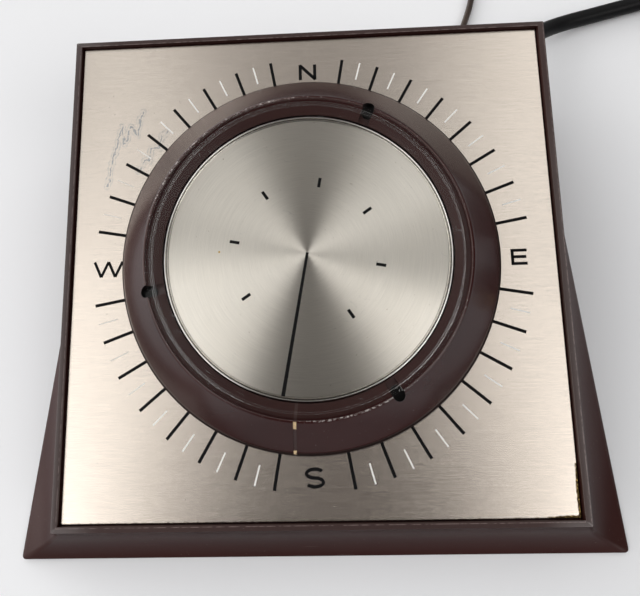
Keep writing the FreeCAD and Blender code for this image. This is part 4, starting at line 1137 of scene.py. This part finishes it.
def knob_finish(settings):
    """Glossy maroon moulding with painted shade on its dull foot, painted sheen on the seat and
    painted light on the wall round the window, a scratched crest, painted shade on the notch floors,
    and paint left at the index groove's ends."""
    finish = Finish("maroon_knob_plastic")
    tint = settings.plastic
    here = finish.on_face()
    x, y, z = finish.split(here)
    radius = distance(x, y)
    cloud = finish.noise(here, 0.05, 3)
    fine = finish.noise(here, 0.9, 4)
    broken = finish.noise(here, 1.3, 5, 0.75)
    speck = finish.noise(here, 1.9, 2, 0.7).between(0.73, 0.76)
    scratch = crest_scratches(x, y, z, radius, broken, settings.crest / MM)
    slot = (abs(aside(x, y, settings.index)).between(0.50, 0.34)
            * outward(x, y, settings.index).between(0, 10) * z.between(5.6, 6.2))
    ends = abs(radius - 46.5).between(1.15, 0.85).maths(
        "MAXIMUM", abs(radius - 54.2).between(0.7, 0.4))
    hole = notch_floor_shade(x, y, z)
    # Painted light: the wall under the window's flange is painted lighter than it is lit.
    wall = radius.between(45.32, 45.22) * radius.between(45.0, 45.1) * z.between(15.2, 15.4)
    return finish.surface({
        "Base Color": finish.layers(
            finish.mix(cloud.between(0.3, 0.7), tint, scaled(tint, 1.3)),
            (speck * 0.35, (0.40, 0.36, 0.34)),
            # Painted shade: the knob's foot is painted near black.
            (radius.between(54.0, 54.7), (0.010, 0.0040, 0.0038)),
            # Painted sheen: the seat inside the window is painted paler and greyer.
            (radius.between(44.9, 44.4), (0.034, 0.0165, 0.0150)),
            (wall, (0.080, 0.048, 0.045)),
            (slot * 0.25, (0.10, 0.075, 0.07)),
            (scratch * 0.7, (0.62, 0.58, 0.56)),
            (slot * ends * broken.between(0.36, 0.44), (0.66, 0.50, 0.30)),
            # Painted shade: the notch floors are painted near black.
            (hole, (0.0015, 0.0012, 0.0012))),
        "Roughness": fine * 0.10 + cloud * 0.10 + scratch * 0.3 + hole * 0.4
                     + radius.between(54.2, 54.8) * 0.6 + 0.12,
        "IOR": 1.2,
        "Coat Weight": radius.between(43.2, 44.6) * radius.between(54.6, 53.9)
                       * (0.42 - y.between(-39, -47) * 0.34),
        "Coat IOR": 1.5,
        "Coat Roughness": 0.14,
        "Normal": finish.bump(fine - scratch * 0.6, 0.00004, 0.3)})


class ROTATOR_OT_window(bpy.types.Operator):
    """Make the clear window that closes the knob"""
    bl_idname = "rotator.window"
    bl_label = "Knob window"

    def execute(self, context):
        settings = context.scene.rotator_knob
        edge = settings.crest / MM - 0.2
        profile = rounded([
            (0, 15.9, 0), (43.4, 15.9, 0.05), (43.4, 15.35, 0.05), (edge, 15.35, 0.1),
            (edge, 16.70, 0.1), (43.2, 17.38, 0.22), (0, 17.38, 0)])
        surface = Surface().add(on_face(lathe(profile, full_turn(180))))
        place(surface.piece("clear_window", window_finish(), 30), "knob", "clear_plastic",
              "knob_window")
        return {"FINISHED"}


def window_finish():
    """Clear acrylic: it mirrors more at a slant, with two painted highlight lines on its bevel,
    partly broken into scuffs, and hairs.
    """
    finish = Finish("clear_acrylic")
    here = finish.on_face()
    x, y, z = finish.split(here)
    radius = distance(x, y)
    fine = finish.noise(here, 1.2, 5, 0.75)
    worn = toward(x, y, radius, 150, 60, 15).maths(
        "MAXIMUM", toward(x, y, radius, 325, 80, 25)) * 0.06
    # Painted highlight: two pale lines at the bevel's edge, always faintly there and scuffed in
    # patches by noise.
    pair = abs(abs(radius - 43.25) - 0.25).between(0.09, 0.04)
    edge = pair * ((fine + worn).between(0.58, 0.66) * 0.7 + 0.3)
    slanted = finish.joined(x * 0.3 + y * 0.6, y * 0.06 - x * 0.12, z)
    hair = abs(finish.noise(slanted, 0.6, 2) - 0.5).between(0.004, 0.001)
    hair = hair * finish.noise(here, 0.12, 2).between(0.58, 0.66)
    scuff_and_highlight = (edge * 0.35 + hair * 0.25).maths("MINIMUM", 1.0)
    front = 1 - finish.node("ShaderNodeNewGeometry", output="Backfacing")
    mirror = finish.node("ShaderNodeFresnel", None, {"IOR": 1.2}) * front
    mirror = mirror * (1 - radius.between(42.9, 43.2) * 0.8)
    return finish.surface({
        "Base Color": finish.mix(scuff_and_highlight, (0.92, 0.92, 0.92), (0.78, 0.77, 0.76)),
        "Metallic": 1 - scuff_and_highlight,
        "Roughness": scuff_and_highlight * 0.4 + 0.05,
        "Alpha": mirror.maths("MAXIMUM", scuff_and_highlight)})


# ---------------------------------------------------------------- dial

DIAL_FACE = 13.48
FIRST_TICK, BARE_TICK = 10.7, 4


class ROTATOR_OT_dial(bpy.types.Operator):
    """Make the spun dial disc with its rolled edge"""
    bl_idname = "rotator.dial"
    bl_label = "Dial disc"

    def execute(self, context):
        settings = context.scene.rotator_dial
        edge = settings.disc / MM
        profile = rounded([
            (0, 12.92, 0), (edge - 0.2, 12.92, 0.1), (edge, 13.15, 0.12), (edge, 13.55, 0.1),
            (edge - 0.22, 13.74, 0.12), (edge - 0.46, 13.74, 0.08), (edge - 0.62, 13.24, 0.05),
            (edge - 0.82, 13.24, 0.05), (edge - 0.96, 13.46, 0.06), (edge - 1.14, 13.46, 0.06),
            (edge - 1.3, 13.28, 0.05), (edge - 1.45, DIAL_FACE, 0.05), (0, DIAL_FACE, 0)])
        surface = Surface().add(on_face(lathe(profile, full_turn(180))))
        place(surface.piece("spun_dial", spun_metal(settings), 25), "dial", "dial_aluminium",
              "dial_disc")
        marks = Surface()
        for step in range(8):
            if step != BARE_TICK:
                add_ribbon(marks, heading_line(FIRST_TICK + 45 * step, 19.4, 22.2), 0.88, DIAL_FACE)
        add_ribbon(marks, heading_line(settings.pointer, -0.3, edge - 1.15), (0.78, 1.05), DIAL_FACE)
        place(marks.piece("dial_print", ink_finish(context.scene.rotator_case)), "dial",
              "dial_aluminium")
        return {"FINISHED"}


def spun_metal(settings):
    """Aluminium turned in fine rings, with a few specks of dirt and a polished, grooved rim with
    painted shade in its groove and at its foot.
    """
    finish = Finish("spun_dial_aluminium")
    tint, edge = settings.metal, settings.disc / MM
    here = finish.on_face()
    x, y = finish.split(here)[:2]
    radius = distance(x, y)
    turning = finish.joined(radius * 5.0, (x / radius) * 3.0, (y / radius) * 3.0)
    rings = finish.noise(turning, 1.0, 5, 0.7)
    cloud = finish.noise(here, 0.06, 3)
    speck = finish.noise(here, 1.0, 2, 0.6).between(0.745, 0.77)
    yellow = ((x + 24.8) ** 2 + (y - 1.2) ** 2).between(0.12, 0.05)
    rim = radius.between(edge - 1.35, edge - 1.2)
    # Painted shade: darker rings at the rim's foot and in its groove.
    foot = abs(radius - (edge - 1.25)).between(0.14, 0.05)
    groove = abs(radius - (edge - 0.72)).between(0.18, 0.07)
    return finish.surface({
        "Base Color": finish.layers(
            finish.mix(rings.between(0.3, 0.7), scaled(tint, 0.9), tint),
            (cloud.between(0.4, 0.75) * 0.08, (0.55, 0.50, 0.40)),
            (speck * 0.5, (0.20, 0.13, 0.06)),
            (yellow, (0.55, 0.36, 0.08)),
            (radius.between(edge - 0.62, edge - 0.5) * 0.9, (0.95, 0.94, 0.93)),
            (foot * 0.4, (0.2, 0.2, 0.2)),
            (groove * 0.75, (0.09, 0.09, 0.09))),
        "Metallic": 1.0,
        "Anisotropic": 0.92,
        "Anisotropic Rotation": 0.25,
        "Roughness": rings * 0.10 + speck * 0.3 + 0.28 - rim * 0.2,
        "Normal": finish.bump(rings, 0.00003, 0.35)})


# ---------------------------------------------------------------- frame's own nodes

# Colour, roughness, metal share and nodes of each finish. The contact segments, slip rings, wiper
# spring, brush springs and terminal block keep the frame's own finish.
NODE_FINISHES = {
    "zinc_steel": ((0.60, 0.59, 0.56), 0.34, 1.0, """
        cover_screws mechanism_screws motor_screws transformer_screws capacitor_screw
        terminal_screws block_screws mechanism_plate motor_can motor_flange transformer_strap
        capacitor_clamp stop_pin idler_stud idler_retaining_ring shaft_retaining_ring
        knob_retaining_ring dial_shaft motor_shaft"""),
    "turned_brass": ((0.66, 0.47, 0.20), 0.26, 1.0, """
        shaft_bushing bushing_nut knob_sleeve dial_hub lower_bearing motor_bearing
        motor_pinion"""),
    "polished_brass": ((0.70, 0.55, 0.27), 0.20, 1.0, "terminal_plates lead_tips plug_blades"),
    "winding_copper": ((0.46, 0.14, 0.05), 0.35, 0.6, "transformer_winding"),
    "varnished_steel": ((0.13, 0.12, 0.12), 0.42, 0.5, "transformer_core"),
    "capacitor_metal": ((0.66, 0.66, 0.65), 0.30, 1.0, "phasing_capacitor"),
    "dark_paint": ((0.028, 0.024, 0.024), 0.42, 0.0, "bottom_plate"),
    "soft_rubber": ((0.015, 0.015, 0.015), 0.62, 0.0, "rubber_feet"),
    "brown_phenolic": ((0.13, 0.055, 0.025), 0.45, 0.0, """
        contact_disc slip_ring_disc wiper_carrier brush_block transformer_bobbin"""),
    "natural_nylon": ((0.74, 0.71, 0.62), 0.40, 0.0, "dial_gear idler_gear"),
}


class ROTATOR_OT_inner_parts(bpy.types.Operator):
    """Give the frame's inner and small nodes their metals, plastics, rubber and paint"""
    bl_idname = "rotator.inner_parts"
    bl_label = "Inner parts"

    def execute(self, context):
        for name, (tint, rough, metal, nodes) in NODE_FINISHES.items():
            material = plain_finish(name, tint, rough, metal)
            for node in nodes.split():
                slots = frame["nodes"][node].data.materials
                slots.clear()
                slots.append(material)
        return {"FINISHED"}


# ---------------------------------------------------------------- studio

VIEW_WIDTH, VIEW_HEIGHT, FOCAL, MIDDLE = 640, 596, 641, (318.9, 251.6)
CAMERA_PLACE = (0.0114, -0.0828, 0.2093)
CAMERA_RIGHT, CAMERA_FORWARD = (0.9984, -0.023, -0.0508), (-0.0454, 0.1934, -0.9801)
FLOOR_RADIUS, FLOOR_DROP = 6000.0, 0.06
SHADE_COLOUR = (0.05, 0.05, 0.05)


class ROTATOR_OT_studio(bpy.types.Operator):
    """Make the floor, the room's light and the camera"""
    bl_idname = "rotator.studio"
    bl_label = "Studio"

    def execute(self, context):
        settings = context.scene.rotator_studio
        self.make_floor(settings)
        self.make_room(context.scene, settings)
        self.make_camera(context.scene)
        context.scene.view_settings.view_transform = "Standard"
        return {"FINISHED"}

    def make_floor(self, settings):
        """A large disc; its edge is far outside every view."""
        profile = np.array([(0, -FLOOR_DROP), (FLOOR_RADIUS, -FLOOR_DROP)])
        finish = Finish("pale_floor")
        cloud = finish.noise(finish.place(), 0.012, 3)
        tint = settings.floor
        material = finish.surface({
            "Base Color": finish.mix(cloud, scaled(tint, 0.97), tint),
            "Roughness": 0.9})
        disc = Surface().add(lathe(profile, full_turn(64)) * MM, along=False)
        disc.piece("floor", material)

    def make_room(self, scene, settings):
        """A room with two bright sides and a dim band that runs front to back overhead:
        dim + (bright - dim) step(|x - middle|), x across the direction. Two soft lamps stand
        half way up it, a soft glow lies low down, and four stretches are shaded, each at a
        compass heading: light = mix(light, its colour, its share)."""
        world = bpy.data.worlds.new("room")
        scene.world = world
        world.use_nodes = True
        room = Nodes(world.node_tree)
        x, y, z = room.split(room.node("ShaderNodeTexCoord", output="Generated"))
        flat = distance(x, y)
        side = abs(x + 0.03) - y.between(-0.2, -0.55) * 0.09 - y.between(0.1, 0.5) * 0.03
        near = room.mix(y.between(-0.5, 0.4), (1.44, 1.42, 1.39), (1.11, 1.10, 1.08))
        bright = room.mix(z.between(0.05, 0.6), (0.72, 0.73, 0.75), near)
        dim = room.mix(y.between(-0.5, 0.5), (0.048, 0.041, 0.038), (0.33, 0.32, 0.31))
        light = room.mix(side.between(0.10, 0.325), dim, bright)
        below = z.between(0.84, 0.74)
        middling = below * z.between(0.35, 0.6)
        light = room.layers(
            light,
            (toward(x, y, flat, 133, 29, 10) * middling, (3.8, 3.7, 3.6)),
            (toward(x, y, flat, 240, 36, 13) * middling, (2.8, 2.75, 2.7)),
            (toward(x, y, flat, 303, 56, 28) * z.between(0.58, 0.46), (3.4, 3.33, 3.26)))
        shade = toward(x, y, flat, 91, 26, 9) * flat.between(0.34, 0.46)
        for share in (toward(x, y, flat, 180, 38, 12) * below * 0.81,
                      toward(x, y, flat, 48, 48, 22) * z.between(0.65, 0.5) * 0.75,
                      toward(x, y, flat, 289, 28, 10) * flat.between(0.35, 0.5)
                      * z.between(0.5, 0.65) * 0.74):
            shade = shade.maths("MAXIMUM", share)
        background = room.node("ShaderNodeBackground", None, {
            "Color": room.mix(shade, light, SHADE_COLOUR), "Strength": settings.room_light})
        room.node("ShaderNodeOutputWorld", None, {"Surface": background})

    def make_camera(self, scene):
        """The camera, from its place in metres and two directions in the face's frame."""
        camera = bpy.data.cameras.new("camera")
        camera.sensor_fit = "HORIZONTAL"
        camera.sensor_width = 36.0
        camera.lens = camera.sensor_width * FOCAL / VIEW_WIDTH
        camera.shift_x = (VIEW_WIDTH / 2 - MIDDLE[0]) / VIEW_WIDTH
        camera.shift_y = (MIDDLE[1] - VIEW_HEIGHT / 2) / VIEW_WIDTH
        camera.clip_start, camera.clip_end = 0.01, 50
        holder = bpy.data.objects.new("camera", camera)
        scene.collection.objects.link(holder)
        forward = turned(np.array(CAMERA_FORWARD), TILT)
        forward /= np.linalg.norm(forward)
        up = np.cross(turned(np.array(CAMERA_RIGHT), TILT), forward)
        up /= np.linalg.norm(up)
        matrix = np.eye(4)
        matrix[:3] = np.stack([np.cross(forward, up), up, -forward, CAMERA_PLACE], 1)
        holder.matrix_world = Matrix(matrix.tolist())
        scene.camera = holder


# ---------------------------------------------------------------- panel and main

OPERATORS = [ROTATOR_OT_studio, ROTATOR_OT_cord_boot, ROTATOR_OT_plug, ROTATOR_OT_mains_cord,
             ROTATOR_OT_rotator_lead, ROTATOR_OT_case, ROTATOR_OT_face_plate,
             ROTATOR_OT_compass_print, ROTATOR_OT_knob, ROTATOR_OT_window, ROTATOR_OT_dial,
             ROTATOR_OT_inner_parts]


class ROTATOR_PT_panel(bpy.types.Panel):
    """Lists the controller's settings and the steps that make it"""
    bl_idname = "ROTATOR_PT_panel"
    bl_label = "Rotator controller"
    bl_space_type = "VIEW_3D"
    bl_region_type = "UI"
    bl_category = "Rotator"

    def draw(self, context):
        for name, group in GROUPS.items():
            box = self.layout.box()
            box.label(text=group.__doc__)
            for field in group.__annotations__:
                box.prop(getattr(context.scene, name), field)
        for operator in OPERATORS:
            self.layout.operator(operator.bl_idname)


def register():
    """Registers the settings, the steps and the panel."""
    for group in GROUPS.values():
        bpy.utils.register_class(group)
    for kind in [*OPERATORS, ROTATOR_PT_panel]:
        bpy.utils.register_class(kind)
    for name, group in GROUPS.items():
        setattr(bpy.types.Scene, name, PointerProperty(type=group))


def unregister():
    """Takes away what register() added."""
    for name in GROUPS:
        delattr(bpy.types.Scene, name)
    for kind in reversed([*GROUPS.values(), *OPERATORS, ROTATOR_PT_panel]):
        bpy.utils.unregister_class(kind)


def main():
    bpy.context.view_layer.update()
    register()
    for operator in OPERATORS:
        group, step = operator.bl_idname.split(".")
        getattr(getattr(bpy.ops, group), step)()


if __name__ == "__main__":
    main()
